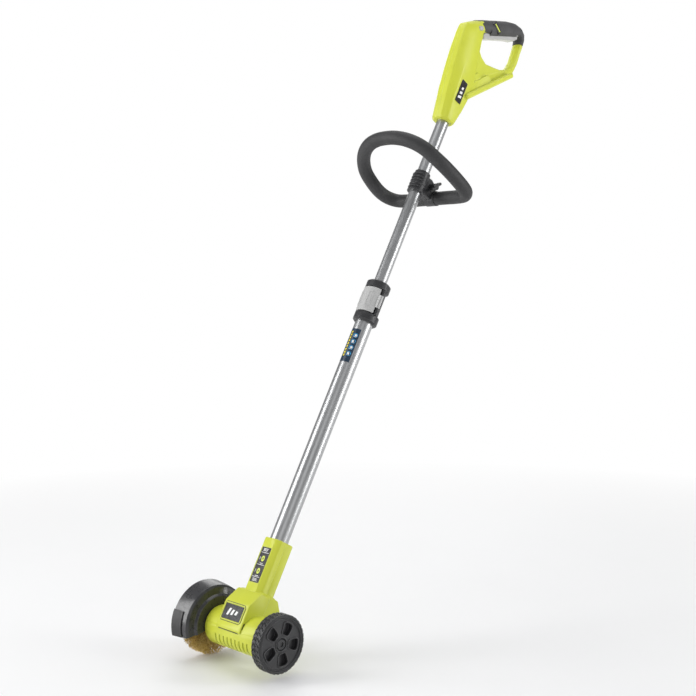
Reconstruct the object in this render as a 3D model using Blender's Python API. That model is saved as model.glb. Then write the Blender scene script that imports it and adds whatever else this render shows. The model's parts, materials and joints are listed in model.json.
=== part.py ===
"""Cordless patio and crevice cleaner with a wire brush, a guide wheel and a telescoping pole.

Everything is drawn in millimetres. In the pole frame the origin is where the axle meets the pole,
X runs along the axle toward the guide wheel, Z runs up the pole and Y points back at the user.
The rear handle is drawn the same way from the top end of the upper tube. The pole frame is an
empty that leans back by LEAN_DEG, the working posture, and that is placed so that the world
origin is the middle of the rear grip, where the user's hand holds the tool.
"""

import math

import bmesh
import bpy

# ---- driving dimensions, millimetres and degrees -------------------------------------------------
LEAN_DEG = 29.0            # pole leans back from the vertical
GAP = 0.25                 # clearance between neighbours

UPPER_R = 11.0             # upper tube, outside
UPPER_WALL = 1.4
UPPER_LEN = 620.0
GLIDE_ROOM = 2.2           # from the upper tube to the bore of the lower tube
LOWER_WALL = 1.8
LOWER_LEN = 513.0
TUBE_SEAT = 62.0           # height of the lower tube's end in the head
TUBE_OVERLAP = 195.0       # upper tube inside the lower tube

GEAR_MODULE = 1.25
SUN_TEETH = 12
PLANET_TEETH = 12
RING_TEETH = 36
RING_WALL = 4.0            # ring gear, from its pitch circle to its outside
HEAD_WALL = 3.2
BARREL_X = (-60.0, 68.0)   # head housing round the motor
NECK_TOP = 146.0
MOTOR_R = 22.0
SPINDLE_R = 5.0

BRUSH_R = 52.5             # wire brush radius, also the axle height above the ground
BRUSH_W = 22.0             # wire brush, across the tips
BRUSH_OFF = 11.0           # from the end of the barrel to the brush
TUFTS = 30
GUARD_ARC = (-43.0, 176.0)  # degrees from straight ahead, going up and over

WHEEL_R = 44.0
WHEEL_W = 20.0
WHEEL_OFF = 2.4            # from the end of the barrel to the wheel
AXLE_R = 5.0

COLLAR_BELOW = 43.0        # telescoping collar, below and above the lower tube's top end
COLLAR_ABOVE = 32.0
CLAMP_DROP = 211.0         # bottom of the front handle clamp, below the upper tube's top end
CLAMP_H = 39.0
HOOP_TUBE_R = 8.7
HOOP_FOAM = 3.3            # thickness of the foam on the hoop, with its gap
HOOP_HALF_W = 95.0
HOOP_REACH = 150.0

TRIGGER_PIN = (86.0, 191.0)
TRIGGER_HALF_W = 7.8
LOCK_BUTTON = (-11.0, 131.0)
PIN_R = 1.45               # trigger pin
FOOT_LEN = 140.0           # battery foot
FOOT_HALF_W = 26.0
SOCKET = (14.0, 52.0)      # battery pocket, start and end along the foot
SOCKET_HALF_W = 15.0
SOCKET_DEPTH = 28.0
GRIP_CENTRE = (59.0, 188.5)  # middle of the rear grip, y and z from the upper tube's top end

# ---- sizes that follow from them
LOWER_BORE = UPPER_R + GLIDE_ROOM
LOWER_R = LOWER_BORE + LOWER_WALL
LOWER_Z = (TUBE_SEAT, TUBE_SEAT + LOWER_LEN)
UPPER_Z = (LOWER_Z[1] - TUBE_OVERLAP, LOWER_Z[1] - TUBE_OVERLAP + UPPER_LEN)
RING_R = GEAR_MODULE * RING_TEETH / 2.0 + RING_WALL
BAY_R = RING_R + 0.3       # room for the motor and the gears
BARREL_R = BAY_R + HEAD_WALL
FACE_Y = -(BARREL_R + 3.2)  # front face of the head
BRUSH_X = (BARREL_X[0] - BRUSH_OFF - BRUSH_W, BARREL_X[0] - BRUSH_OFF)
WHEEL_X = (BARREL_X[1] + WHEEL_OFF, BARREL_X[1] + WHEEL_OFF + WHEEL_W)
RIM_R = WHEEL_R - 5.2
COLLAR_Z = (LOWER_Z[1] - COLLAR_BELOW, LOWER_Z[1] + COLLAR_ABOVE)
COLLAR_R = LOWER_R + 6.0
LEVER_PIN = (LOWER_R + 5.9, -2.9)   # lock lever hinge, x and y
CLAMP_Z = (UPPER_Z[1] - CLAMP_DROP, UPPER_Z[1] - CLAMP_DROP + CLAMP_H)
HOOP_PIVOT = (UPPER_R + 31.0, CLAMP_Z[0] + 14.0)  # y and z of the bar the hoop turns on
KNOB_AXIS = (UPPER_R + 13.0, CLAMP_Z[0] + 26.0)   # y and z of the clamp bolt
HOOP_R = HOOP_TUBE_R + HOOP_FOAM

MM = 0.001
TANGLED = ("head_housing_front", "head_housing_rear")   # built from shapes that cross themselves

# ---- materials -----------------------------------------------------------------------------------
COLOURS = {
    "lime_plastic": ((0.56, 0.66, 0.08), 0.0, 0.42),
    "black_plastic": ((0.045, 0.046, 0.048), 0.0, 0.5),
    "grip_rubber": ((0.075, 0.075, 0.08), 0.0, 0.8),
    "foam_black": ((0.03, 0.03, 0.032), 0.0, 0.85),
    "tyre_rubber": ((0.04, 0.04, 0.042), 0.0, 0.75),
    "guard_black": ((0.03, 0.031, 0.033), 0.0, 0.25),
    "light_grey_plastic": ((0.6, 0.6, 0.6), 0.0, 0.45),
    "aluminium_tube": ((0.72, 0.73, 0.75), 1.0, 0.3),
    "steel": ((0.55, 0.56, 0.58), 1.0, 0.35),
    "zinc_screw": ((0.62, 0.62, 0.6), 1.0, 0.4),
    "brass_wire": ((0.72, 0.5, 0.18), 1.0, 0.45),
    "copper_iron": ((0.45, 0.25, 0.15), 1.0, 0.5),
    "label_black": ((0.012, 0.012, 0.014), 0.0, 0.35),
    "white_plastic": ((0.75, 0.75, 0.73), 0.0, 0.5),
    "brass_contact": ((0.8, 0.6, 0.25), 1.0, 0.3),
}


def material(name):
    mat = bpy.data.materials.get(name)
    if mat is None:
        colour, metallic, roughness = COLOURS[name]
        mat = bpy.data.materials.new(name)
        mat.use_nodes = True
        shader = mat.node_tree.nodes["Principled BSDF"]
        shader.inputs["Base Color"].default_value = (*colour, 1.0)
        shader.inputs["Metallic"].default_value = metallic
        shader.inputs["Roughness"].default_value = roughness
    return mat


# ---- scene ---------------------------------------------------------------------------------------
for old in list(bpy.data.objects):
    bpy.data.objects.remove(old, do_unlink=True)

def frame(name, parent=None):
    empty = bpy.data.objects.new(name, None)
    bpy.context.scene.collection.objects.link(empty)
    empty.parent = parent
    return empty


def grip_in_world():
    """Where the middle of the rear grip would be with the pole frame at the world origin."""
    y, z = GRIP_CENTRE[0], UPPER_Z[1] + GRIP_CENTRE[1]
    lean = math.radians(LEAN_DEG)
    return (y * math.cos(lean) + z * math.sin(lean), z * math.cos(lean) - y * math.sin(lean))


pole_frame = frame("pole_frame")
pole_frame.location = (0.0, -grip_in_world()[0] * MM, -grip_in_world()[1] * MM)
pole_frame.rotation_euler = (-math.radians(LEAN_DEG), 0.0, 0.0)
handle_frame = frame("handle_frame", pole_frame)
handle_frame.location = (0.0, 0.0, UPPER_Z[1] * MM)


def add(name, bm, mat, smooth=True, parent=pole_frame):
    """Turn a bmesh drawn in millimetres into a named object that rides on a frame."""
    bmesh.ops.scale(bm, vec=(MM, MM, MM), verts=bm.verts)
    bmesh.ops.recalc_face_normals(bm, faces=bm.faces)
    mesh = bpy.data.meshes.new(name)
    bm.to_mesh(mesh)
    bm.free()
    obj = bpy.data.objects.new(name, mesh)
    bpy.context.scene.collection.objects.link(obj)
    obj.parent = parent
    mesh.materials.append(material(mat))
    if smooth:
        mesh.shade_smooth()
        mesh.set_sharp_from_angle(angle=math.radians(32.0))
    return obj


def on_handle(name, bm, mat, smooth=True):
    return add(name, bm, mat, smooth, handle_frame)


def hide(obj):
    obj.hide_render = True
    obj.display_type = "WIRE"
    return obj


def combine(obj, tools, operation):
    for tool in tools:
        mod = obj.modifiers.new(operation.lower(), "BOOLEAN")
        mod.operation = operation
        mod.solver = "EXACT"
        mod.use_self = obj.name in TANGLED
        mod.object = hide(tool)
    return obj


def cut(obj, *tools):
    return combine(obj, tools, "DIFFERENCE")


def join(obj, *tools):
    return combine(obj, tools, "UNION")


def keep(obj, *tools):
    return combine(obj, tools, "INTERSECT")


def bevel(obj, width, segments=2, angle=35.0):
    mod = obj.modifiers.new("bevel", "BEVEL")
    mod.width = width * MM
    mod.segments = segments
    mod.limit_method = "ANGLE"
    mod.angle_limit = math.radians(angle)
    mod.use_clamp_overlap = True
    return obj


# ---- shape builders, all in millimetres ----------------------------------------------------------
def place(axis, along, across_a, across_b):
    """Put (along the axis, first cross direction, second cross direction) in x, y, z order."""
    if axis == "X":
        return (along, across_a, across_b)
    if axis == "Y":
        return (across_a, along, across_b)
    return (across_a, across_b, along)


def bridge(bm, rings, closed):
    """Skin a list of rings of vertices; closed also joins the last ring to the first."""
    count = len(rings[0])
    pairs = list(zip(rings, rings[1:]))
    if closed:
        pairs.append((rings[-1], rings[0]))
    for low, high in pairs:
        for i in range(count):
            j = (i + 1) % count
            bm.faces.new((low[i], low[j], high[j], high[i]))


def cap(bm, ring):
    bm.faces.new(ring)


def lathe(profile, axis="X", centre=(0.0, 0.0), seg=24, solid=True, start=0.037):
    """Revolve (position along the axis, radius) points: a solid with flat ends, or a closed ring."""
    bm = bmesh.new()
    rings = []
    for along, radius in profile:
        ring = []
        for k in range(seg):
            a = start + 2.0 * math.pi * k / seg
            u, v = centre[0] + radius * math.cos(a), centre[1] + radius * math.sin(a)
            ring.append(bm.verts.new(place(axis, along, u, v)))
        rings.append(ring)
    bridge(bm, rings, closed=not solid)
    if solid:
        cap(bm, rings[0])
        cap(bm, rings[-1])
    return bm


def pipe(axis, lo, hi, outer, inner, centre=(0.0, 0.0), seg=24):
    profile = [(lo, inner), (lo, outer), (hi, outer), (hi, inner)]
    return lathe(profile, axis, centre, seg, solid=False)


def rod(axis, lo, hi, radius, centre=(0.0, 0.0), seg=16, chamfer=0.0):
    if chamfer:
        profile = [(lo, radius - chamfer), (lo + chamfer, radius), (hi - chamfer, radius),
                   (hi, radius - chamfer)]
    else:
        profile = [(lo, radius), (hi, radius)]
    return lathe(profile, axis, centre, seg)


def prism(outline, lo, hi, axis="X"):
    """Extrude a closed outline, given in the two cross directions, between two planes."""
    bm = bmesh.new()
    rings = [[bm.verts.new(place(axis, along, u, v)) for u, v in outline] for along in (lo, hi)]
    bridge(bm, rings, closed=False)
    cap(bm, rings[0])
    cap(bm, rings[1])
    return bm


def box(x, y, z):
    return prism([(y[0], z[0]), (y[1], z[0]), (y[1], z[1]), (y[0], z[1])], x[0], x[1])


def loft(sections):
    """Skin a list of outlines of 3-D points and close both ends."""
    bm = bmesh.new()
    rings = [[bm.verts.new(p) for p in section] for section in sections]
    bridge(bm, rings, closed=False)
    cap(bm, rings[0])
    cap(bm, rings[-1])
    return bm


def ring_loft(outer, inner):
    """A sleeve: outer outlines one way, inner outlines back, closed on itself."""
    bm = bmesh.new()
    rings = [[bm.verts.new(p) for p in s] for s in outer]
    rings += [[bm.verts.new(p) for p in s] for s in reversed(inner)]
    bridge(bm, rings, closed=True)
    return bm


def merged(parts):
    """Several separate closed shapes in one cutter mesh."""
    out = bmesh.new()
    for part in parts:
        mesh = bpy.data.meshes.new("part")
        part.to_mesh(mesh)
        part.free()
        out.from_mesh(mesh)
        bpy.data.meshes.remove(mesh)
    return out


# ---- screws --------------------------------------------------------------------------------------
def screw_profile(head, tip, radius=1.6, head_r=3.2, grow=0.0):
    """Pan head at one end; grow widens it into the hole it sits in."""
    way = 1.0 if tip > head else -1.0
    under = head + way * 2.2
    return [(head - way * grow * 24.0, head_r + grow), (under + way * grow, head_r + grow),
            (under + way * grow, radius + grow), (tip + way * grow * 3.0, radius + grow)]


def screw(name, axis, head, tip, centre, parent=pole_frame, **sizes):
    profile = screw_profile(head, tip, **sizes)
    return add(name, lathe(profile, axis, centre, 10), "zinc_screw", parent=parent)


def screw_hole(axis, head, tip, centre, **sizes):
    return lathe(screw_profile(head, tip, grow=GAP, **sizes), axis, centre, 12)


# ---- head: housing halves --------------------------------------------------------------------------
# x, z and the y of the head's outer face
HEAD_SCREWS = [(22.3, 42.0, 22.0), (-22.3, 42.0, 22.0),
               (BARREL_X[0] + 8.0, -18.0, BARREL_R - 11.0), (BARREL_X[1] - 6.5, -18.0, BARREL_R - 11.0)]
GUARD_SCREWS = [(-16.4, 11.5), (16.4, 11.5)]
BEARING_R = SPINDLE_R + 8.0
AXLE_ROOT_R = 3.0          # axle bolt in the head
NECK_FRONT = -(LOWER_R + 2.8)


def neck_outline():
    f, side, y1, y2, y3 = LOWER_R - 2.2, LOWER_R + 3.8, -(LOWER_R - 4.5), LOWER_R - 0.5, LOWER_R + 5.0
    return [(-f, NECK_FRONT), (f, NECK_FRONT), (side, y1), (side, y2), (f, y3), (-f, y3),
            (-side, y2), (-side, y1)]


def vent_slots(side):
    """A row of slanted slots low on the barrel, side = -1 for the front and 1 for the back."""
    slots = []
    for k in range(9):
        x = -36.0 + 9.4 * k
        lean = 4.0
        outline = [(x, 1.0 - BARREL_R), (x + 3.0, 1.0 - BARREL_R), (x + 3.0 + lean, -17.0),
                   (x + lean, -17.0)]
        lo, hi = (-BARREL_R - 2.0, -8.0) if side < 0 else (8.0, BARREL_R + 2.0)
        slots.append(prism(outline, lo, hi, axis="Y"))
    return merged(slots)


def head_outer(name):
    b0, b1 = BARREL_X
    r = BARREL_R
    barrel = add(name, lathe([(b0, r - 3.5), (b0 + 1.0, r - 1.2), (b0 + 3.5, r), (b1 - 4.0, r),
                              (b1 - 1.0, r - 1.5), (b1, r - 4.0)], "X", seg=40), "lime_plastic")
    neck = bevel(add(name + "_neck", prism(neck_outline(), 5.0, NECK_TOP, "Z"), "lime_plastic"), 1.4, 1)
    shoulder = [(-21.5, 5.0), (-21.5, 56.0), (-14.0, 62.0), (14.0, 62.0), (22.0, 55.0), (22.0, 5.0)]
    side_w = LOWER_R + 11.0
    side = bevel(add(name + "_side", prism(shoulder, -side_w, side_w), "lime_plastic"), 2.0, 1)
    back = BARREL_R + 4.0
    pedestal = [(FACE_Y + 2.2, -8.0), (FACE_Y, -4.0), (FACE_Y, 36.0), (FACE_Y + 4.2, 43.0),
                (-LOWER_R - 3.5, 60.0), (LOWER_R + 3.5, 60.0), (back - 3.0, 45.0), (back, 38.0),
                (back, 0.0), (back - 4.0, -6.0)]
    block = bevel(add(name + "_block", prism(pedestal, -29.0, 29.0), "lime_plastic"), 2.5, 2, 20.0)
    return join(barrel, neck, side, block)


def head_half(name, side):
    """One half of the clamshell, split on the plane through the axle and the pole."""
    half = head_outer(name)
    b0, b1 = BARREL_X
    bay = lathe([(b0 - 1.0, SPINDLE_R + 3.5), (b0 + 4.0, SPINDLE_R + 3.5), (b0 + 4.0, BEARING_R + 0.2),
                 (b0 + 15.5, BEARING_R + 0.2), (b0 + 15.5, BAY_R), (b1 - 12.0, BAY_R),
                 (b1 - 12.0, AXLE_ROOT_R + GAP), (b1 + 2.0, AXLE_ROOT_R + GAP)], "X", seg=28)
    cut(half, add(name + "_bay", bay, "lime_plastic"))
    socket = lathe([(20.0, 8.0), (LOWER_Z[0] - 0.4, 8.0), (LOWER_Z[0] - 0.4, LOWER_R + GAP),
                    (NECK_TOP + 2.0, LOWER_R + GAP)], "Z", seg=28)
    cut(half, add(name + "_socket", socket, "lime_plastic"))
    holes = [screw_hole("Y", y, -8.0, (x, z)) for x, z, y in HEAD_SCREWS]
    cut(half, add(name + "_screw_holes", merged(holes), "lime_plastic"))
    pilots = [rod("X", b0 - 2.0, b0 + 10.0, 1.85, c, 12) for c in GUARD_SCREWS]
    cut(half, add(name + "_pilots", merged(pilots), "lime_plastic"))
    cut(half, add(name + "_vents", vent_slots(side), "lime_plastic"))
    y = (-60.0, -0.1) if side < 0 else (0.1, 60.0)
    keep(half, add(name + "_side_space", box((-80.0, 80.0), y, (-60.0, 170.0)), "lime_plastic"))
    return half


head_front = head_half("head_housing_front", -1)
badge_bed = box((-23.0, 21.0), (FACE_Y - 7.0, FACE_Y + 1.0), (7.5, 31.5))
cut(head_front, add("badge_bed", badge_bed, "lime_plastic", smooth=False))
label_bed = box((-10.6, 10.6), (NECK_FRONT - 7.0, NECK_FRONT + 0.6), (73.0, 130.0))
cut(head_front, add("neck_label_bed", label_bed, "lime_plastic", smooth=False))
head_half("head_housing_rear", 1)
badge = box((-22.6, 20.6), (FACE_Y - 0.2, FACE_Y + 0.7), (7.9, 31.1))
add("head_badge", badge, "label_black", smooth=False)
strip = box((-10.2, 10.2), (NECK_FRONT - 0.15, NECK_FRONT + 0.35), (73.4, 129.6))
add("neck_label", strip, "label_black", smooth=False)
for n, (sx, sz, sy) in enumerate(HEAD_SCREWS, 1):
    screw("head_screw_%d" % n, "Y", sy, -8.0, (sx, sz))

# ---- head: motor -----------------------------------------------------------------------------------
SHAFT_R = 2.0
add("motor_can", lathe([(-22.0, 4.0), (-22.0, MOTOR_R - 0.6), (-21.4, MOTOR_R), (40.0, MOTOR_R),
                        (40.0, MOTOR_R - 1.6), (-19.5, MOTOR_R - 1.6), (-19.5, 4.0)], "X", seg=24,
                       solid=False), "steel")
add("motor_end_cap", lathe([(36.0, 3.0), (36.0, MOTOR_R - 1.9), (40.3, MOTOR_R - 1.9),
                            (40.3, MOTOR_R), (44.0, MOTOR_R), (44.0, 3.0)], "X", seg=24,
                           solid=False), "black_plastic")
add("motor_mount", pipe("X", -12.0, 30.0, BAY_R - 0.3, MOTOR_R + 0.3), "grip_rubber")
add("armature_shaft", rod("X", -38.0, 54.5, SHAFT_R, seg=12), "steel")
core_r = MOTOR_R - 5.0
add("rotor_core", lathe([(-15.0, SHAFT_R + 0.15), (-15.0, core_r - 5.0), (-12.0, core_r),
                         (25.0, core_r), (27.0, core_r - 5.0), (27.0, 6.0), (34.0, 6.0),
                         (34.0, SHAFT_R + 0.15)], "X", seg=24, solid=False), "copper_iron")


def fan_star(blades, hub, tip, half):
    points = []
    for k in range(blades):
        a = 2.0 * math.pi * k / blades
        step = math.pi / blades
        points.append((hub * math.cos(a - step), hub * math.sin(a - step)))
        for r, s in ((hub + 0.2, -1), (tip, -1), (tip, 1), (hub + 0.2, 1)):
            da = math.atan2(half, r)
            points.append((r * math.cos(a + s * da), r * math.sin(a + s * da)))
    return points


fan_r = BAY_R - 5.8
fan = add("cooling_fan", rod("X", 45.0, 46.6, fan_r), "black_plastic")
blades = prism(fan_star(8, 6.0, fan_r - 0.5, 0.7), 46.0, 53.0)
join(fan, add("fan_blades", blades, "black_plastic", False))
cut(fan, add("fan_bore", rod("X", 44.0, 54.0, SHAFT_R + 0.15, seg=16), "black_plastic"))


# ---- head: planetary gears -------------------------------------------------------------------------
def gear_outline(teeth, phase, internal=False):
    """Straight-sided teeth with backlash; a tooth sits at angle phase."""
    pitch = GEAR_MODULE * teeth / 2.0
    arc = math.pi * GEAR_MODULE
    out = 1.0 if not internal else -1.0
    rows = [(-1.08 * GEAR_MODULE, 0.30), (0.76 * GEAR_MODULE, 0.12)]   # height, half width
    points = []
    for k in range(teeth):
        a = phase + 2.0 * math.pi * k / teeth
        for height, half in rows:
            r = pitch + out * height
            points.append((r, a - half * arc / pitch))
        for height, half in reversed(rows):
            r = pitch + out * height
            points.append((r, a + half * arc / pitch))
    return [(r * math.cos(a), r * math.sin(a)) for r, a in points]


PLANET_ORBIT = GEAR_MODULE * (SUN_TEETH + PLANET_TEETH) / 2.0
PLANET_ANGLES = [math.pi / 2.0 + k * 2.0 * math.pi / 3.0 for k in range(3)]
PLANET_PIN_R = 2.5


def gear_with_bore(name, outline, centre, bore):
    teeth = [(centre[0] + u, centre[1] + v) for u, v in outline]
    wheel = add(name, prism(teeth, -37.5, -28.5), "steel", False)
    return cut(wheel, add(name + "_bore", rod("X", -39.0, -27.0, bore, centre, 12), "steel", False))


gear_with_bore("sun_gear", gear_outline(SUN_TEETH, PLANET_ANGLES[0]), (0.0, 0.0),
               SHAFT_R + 0.2)

ring = add("ring_gear", rod("X", -38.5, -26.0, RING_R, seg=28), "steel")
cut(ring, add("ring_teeth", prism(gear_outline(RING_TEETH, PLANET_ANGLES[0], internal=True),
                                  -40.0, -25.0), "steel", False))


def planet(name, angle):
    cy, cz = PLANET_ORBIT * math.cos(angle), PLANET_ORBIT * math.sin(angle)
    phase = angle + math.pi + math.pi / PLANET_TEETH
    return gear_with_bore(name, gear_outline(PLANET_TEETH, phase), (cy, cz), PLANET_PIN_R + 0.3)


for n, a in enumerate(PLANET_ANGLES, 1):
    planet("planet_gear_%d" % n, a)

CARRIER_R = PLANET_ORBIT + 5.0
SPINDLE_END = BRUSH_X[0] - 7.0
spindle = add("spindle_carrier", lathe([
    (SPINDLE_END, SPINDLE_R - 0.6), (SPINDLE_END + 0.6, SPINDLE_R), (-47.0, SPINDLE_R), (-47.0, 8.0),
    (-44.0, 8.0), (-44.0, CARRIER_R), (-39.0, CARRIER_R)], "X", seg=20), "steel")
join(spindle, add("carrier_pins", merged([
    rod("X", -41.0, -28.0, PLANET_PIN_R, (PLANET_ORBIT * math.cos(a), PLANET_ORBIT * math.sin(a)), 12)
    for a in PLANET_ANGLES]), "steel"))
add("spindle_bearing", pipe("X", BARREL_X[0] + 4.4, BARREL_X[0] + 12.4, BEARING_R, SPINDLE_R + 0.2),
    "steel")

# ---- head: brush and guard -------------------------------------------------------------------------
CORE_R = SPINDLE_R + 9.0
SPINDLE_FIT = SPINDLE_R + 0.2
BX0, BX1 = BRUSH_X
add("brush_core", pipe("X", BX0 + 2.0, BX1 + 3.0, CORE_R, SPINDLE_FIT), "steel")


def tuft_outline():
    """Tufts of crimped wire, each a blade that flares from the root to the tip."""
    root, points = CORE_R + 2.5, []
    for k in range(TUFTS):
        a = 2.0 * math.pi * k / TUFTS
        for r, half in ((root, -0.5), (BRUSH_R, -0.9), (BRUSH_R, 0.9), (root, 0.5)):
            b = a + math.asin(half / r)
            points.append((r * math.cos(b), r * math.sin(b)))
    return points


mid = (BX0 + BX1) / 2.0
tuft_space = lathe([(mid - 5.5, CORE_R + 0.3), (BX0, BRUSH_R - 2.5), (BX0 + 2.0, BRUSH_R + 1.0),
                    (BX1 - 2.0, BRUSH_R + 1.0), (BX1, BRUSH_R - 2.5), (mid + 5.5, CORE_R + 0.3)],
                   "X", seg=36, solid=False)
tufts = add("bristle_ring", prism(tuft_outline(), BX0, BX1), "brass_wire", smooth=False)
keep(tufts, add("tuft_space", tuft_space, "brass_wire"))
add("brush_flange_outer", pipe("X", BX0 - 0.5, BX0 + 1.7, SPINDLE_R + 8.0, SPINDLE_FIT), "steel")
nut = add("brush_nut", lathe([(BX0 - 6.6, SPINDLE_R + 3.3), (BX0 - 5.9, SPINDLE_R + 4.2),
                              (BX0 - 0.8, SPINDLE_R + 4.2)], "X", seg=6), "zinc_screw", smooth=False)
cut(nut, add("nut_bore", rod("X", BX0 - 8.0, BX0 + 1.0, SPINDLE_FIT, seg=24), "steel"))


def guard_profile(points, lo, hi, steps):
    """Sweep a closed (x, radius past the brush tips) outline round part of a turn, ends closed."""
    rows = []
    for k in range(steps + 1):
        a = math.radians(lo + (hi - lo) * k / steps)
        rows.append([(x, -(BRUSH_R + r) * math.cos(a), (BRUSH_R + r) * math.sin(a)) for x, r in points])
    return loft(rows)


B0 = BARREL_X[0]
HUB = 10.5 - BRUSH_R       # hole in the guard for the spindle
GUARD_SKIN = [(B0 - 0.4, HUB), (B0 - 0.4, -10.0), (B0 - 2.6, -7.9), (B0 - 4.6, -6.9), (B0 - 5.6, 3.0),
              (B0 - 8.5, 6.3), (BX1 - 4.0, 7.5), (BX0 - 5.0, 9.9), (BX0 - 7.5, 8.0), (BX0 - 7.5, 2.5),
              (BX0 - 5.6, 2.5), (BX0 - 5.6, 6.9), (BX0 - 4.6, 7.7), (BX1 - 4.5, 5.3), (B0 - 9.6, 4.1),
              (B0 - 7.7, 2.1), (B0 - 6.8, -5.5), (B0 - 5.6, -6.9), (B0 - 2.6, -9.3), (B0 - 2.6, HUB)]
guard = add("brush_guard", guard_profile(GUARD_SKIN, *GUARD_ARC, 26), "guard_black")
cut(guard, add("guard_holes", merged([rod("X", B0 - 10.0, B0 + 5.0, 1.9, c, 12) for c in GUARD_SCREWS]),
               "guard_black"))
for n, c in enumerate(GUARD_SCREWS, 1):
    screw("guard_screw_%d" % n, "X", B0 - 5.2, B0 + 9.0, c)
FLAP = [(BX1 - 6.0, 8.1), (BX0 - 5.2, 10.3), (BX0 - 5.2, 11.9), (BX1 - 6.0, 9.7)]
add("guard_flap", guard_profile(FLAP, GUARD_ARC[0] + 1.0, GUARD_ARC[0] + 39.0, 7), "tyre_rubber")


# ---- head: guide wheel -----------------------------------------------------------------------------
def pocket(angle, near, far, half):
    """Five-sided pocket on a wheel face, wide toward the rim."""
    shape = [(near, 0.0), (near + 3.5, half * 0.72), (far - 3.5, half), (far, half * 0.45),
             (far, -half * 0.45), (far - 3.5, -half), (near + 3.5, -half * 0.72)]
    ca, sa = math.cos(angle), math.sin(angle)
    return [(u * ca - v * sa, u * sa + v * ca) for u, v in shape]


WX0, WX1 = WHEEL_X
AXLE_FIT = AXLE_R + 0.3
hub = add("wheel_hub", lathe([(WX0 + 0.6, AXLE_FIT), (WX0 + 0.6, 10.0), (WX0 + 3.0, 12.0),
                              (WX0 + 3.0, RIM_R - 6.8), (WX0 + 0.8, RIM_R - 4.8), (WX0 + 0.8, RIM_R),
                              (WX1 - 0.8, RIM_R), (WX1 - 0.8, RIM_R - 2.3), (WX1 - 2.6, RIM_R - 4.3),
                              (WX1 - 2.6, 12.0), (WX1 - 1.6, 10.5), (WX1 - 1.6, AXLE_R + 3.8),
                              (WX1 - 5.0, AXLE_R + 3.8), (WX1 - 5.0, AXLE_FIT)], "X", seg=28,
                             solid=False), "black_plastic")
pockets = merged([prism(pocket(math.radians(90 + 72 * k), 13.5, RIM_R - 7.3, 0.222 * RIM_R),
                        WX1 - 11.0, WX1 + 2.0) for k in range(5)])
cut(hub, add("wheel_pockets", pockets, "black_plastic", smooth=False))


def tread_ring():
    """Tyre with a zigzag block tread round its outside."""
    seg = 48
    quarter = WHEEL_W / 4.0
    rows = [(WX0, RIM_R + 0.3), (WX0 + 1.0, WHEEL_R - 1.0), (WX0 + quarter, None),
            (WX0 + 2.0 * quarter, None), (WX1 - quarter, None), (WX1 - 1.0, WHEEL_R - 1.0),
            (WX1, RIM_R + 0.3)]
    bm = bmesh.new()
    rings = []
    for row, (x, r) in enumerate(rows):
        ring = []
        for k in range(seg):
            a = 2.0 * math.pi * k / seg
            shift = row % 2
            radius = r if r is not None else WHEEL_R - (1.3 if (k + 2 * shift) % 4 < 2 else 0.0)
            ring.append(bm.verts.new((x, radius * math.cos(a), radius * math.sin(a))))
        rings.append(ring)
    bridge(bm, rings, closed=True)
    bmesh.ops.triangulate(bm, faces=bm.faces)
    return bm


add("wheel_tyre", tread_ring(), "tyre_rubber")
B1 = BARREL_X[1]
add("axle_bolt", lathe([(B1 - 11.0, AXLE_ROOT_R - 0.4), (B1 - 10.4, AXLE_ROOT_R),
                        (B1 + 0.3, AXLE_ROOT_R), (B1 + 0.3, AXLE_R), (WX1 - 4.7, AXLE_R),
                        (WX1 - 4.7, AXLE_R + 3.0), (WX1 - 2.4, AXLE_R + 3.0),
                        (WX1 - 1.8, AXLE_R + 2.2)], "X", seg=20), "zinc_screw")

# ---- pole: lower tube and collar -------------------------------------------------------------------
add("lower_tube", pipe("Z", *LOWER_Z, LOWER_R, LOWER_BORE, seg=32), "aluminium_tube")


def curved_label(lo, hi, radius, mid, half, thick=0.35, steps=10):
    outline = []
    for k in range(steps + 1):
        a = math.radians(mid - half + 2.0 * half * k / steps)
        outline.append((radius * math.cos(a), radius * math.sin(a)))
    for k in range(steps, -1, -1):
        a = math.radians(mid - half + 2.0 * half * k / steps)
        outline.append(((radius + thick) * math.cos(a), (radius + thick) * math.sin(a)))
    return prism(outline, lo, hi, "Z")


shaft_label = curved_label(LOWER_Z[1] - 120.0, LOWER_Z[1] - 60.0, LOWER_R + 0.15, -80.0, 38.0)
add("shaft_label", shaft_label, "label_black")

C0, C1 = COLLAR_Z
SEAT = LOWER_Z[1] + 1.0
WAIST_R = LOWER_R + 2.3
collar = add("collar_body", lathe([
    (C0, LOWER_R + GAP), (C0, COLLAR_R - 2.4), (C0 + 2.2, COLLAR_R), (C0 + 14.0, COLLAR_R),
    (C0 + 15.5, WAIST_R), (C1 - 14.0, WAIST_R), (C1 - 13.0, COLLAR_R), (C1 - 2.2, COLLAR_R),
    (C1, COLLAR_R - 2.4), (C1, UPPER_R + 0.35), (SEAT, UPPER_R + 0.35), (SEAT, LOWER_R + GAP)], "Z",
    seg=28, solid=False), "black_plastic")
PX, PY = LEVER_PIN
KNUCKLE = (C0 + 27.0, C1 - 25.0)
KNUCKLE_R = 2.9
LEVER_PIN_R = 1.2
lugs = merged([rod("Z", C0 + 14.0, KNUCKLE[0] - 0.3, KNUCKLE_R, LEVER_PIN, 16),
               rod("Z", KNUCKLE[1] + 0.3, C1 - 12.5, KNUCKLE_R, LEVER_PIN, 16)])
join(collar, add("collar_lugs", lugs, "black_plastic"))
WEB = ((LOWER_R + 0.6, PX), (PY - 2.3, PY + 2.3))
webs = merged([box(*WEB, (C0 + 14.2, KNUCKLE[0] - 0.4)), box(*WEB, (KNUCKLE[1] + 0.4, C1 - 12.7))])
join(collar, add("collar_lug_webs", webs, "black_plastic"))
pin_bore = rod("Z", C0 + 16.5, C1 - 15.0, LEVER_PIN_R + GAP, LEVER_PIN, 16)
cut(collar, add("collar_pin_bore", pin_bore, "black_plastic"))
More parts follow.
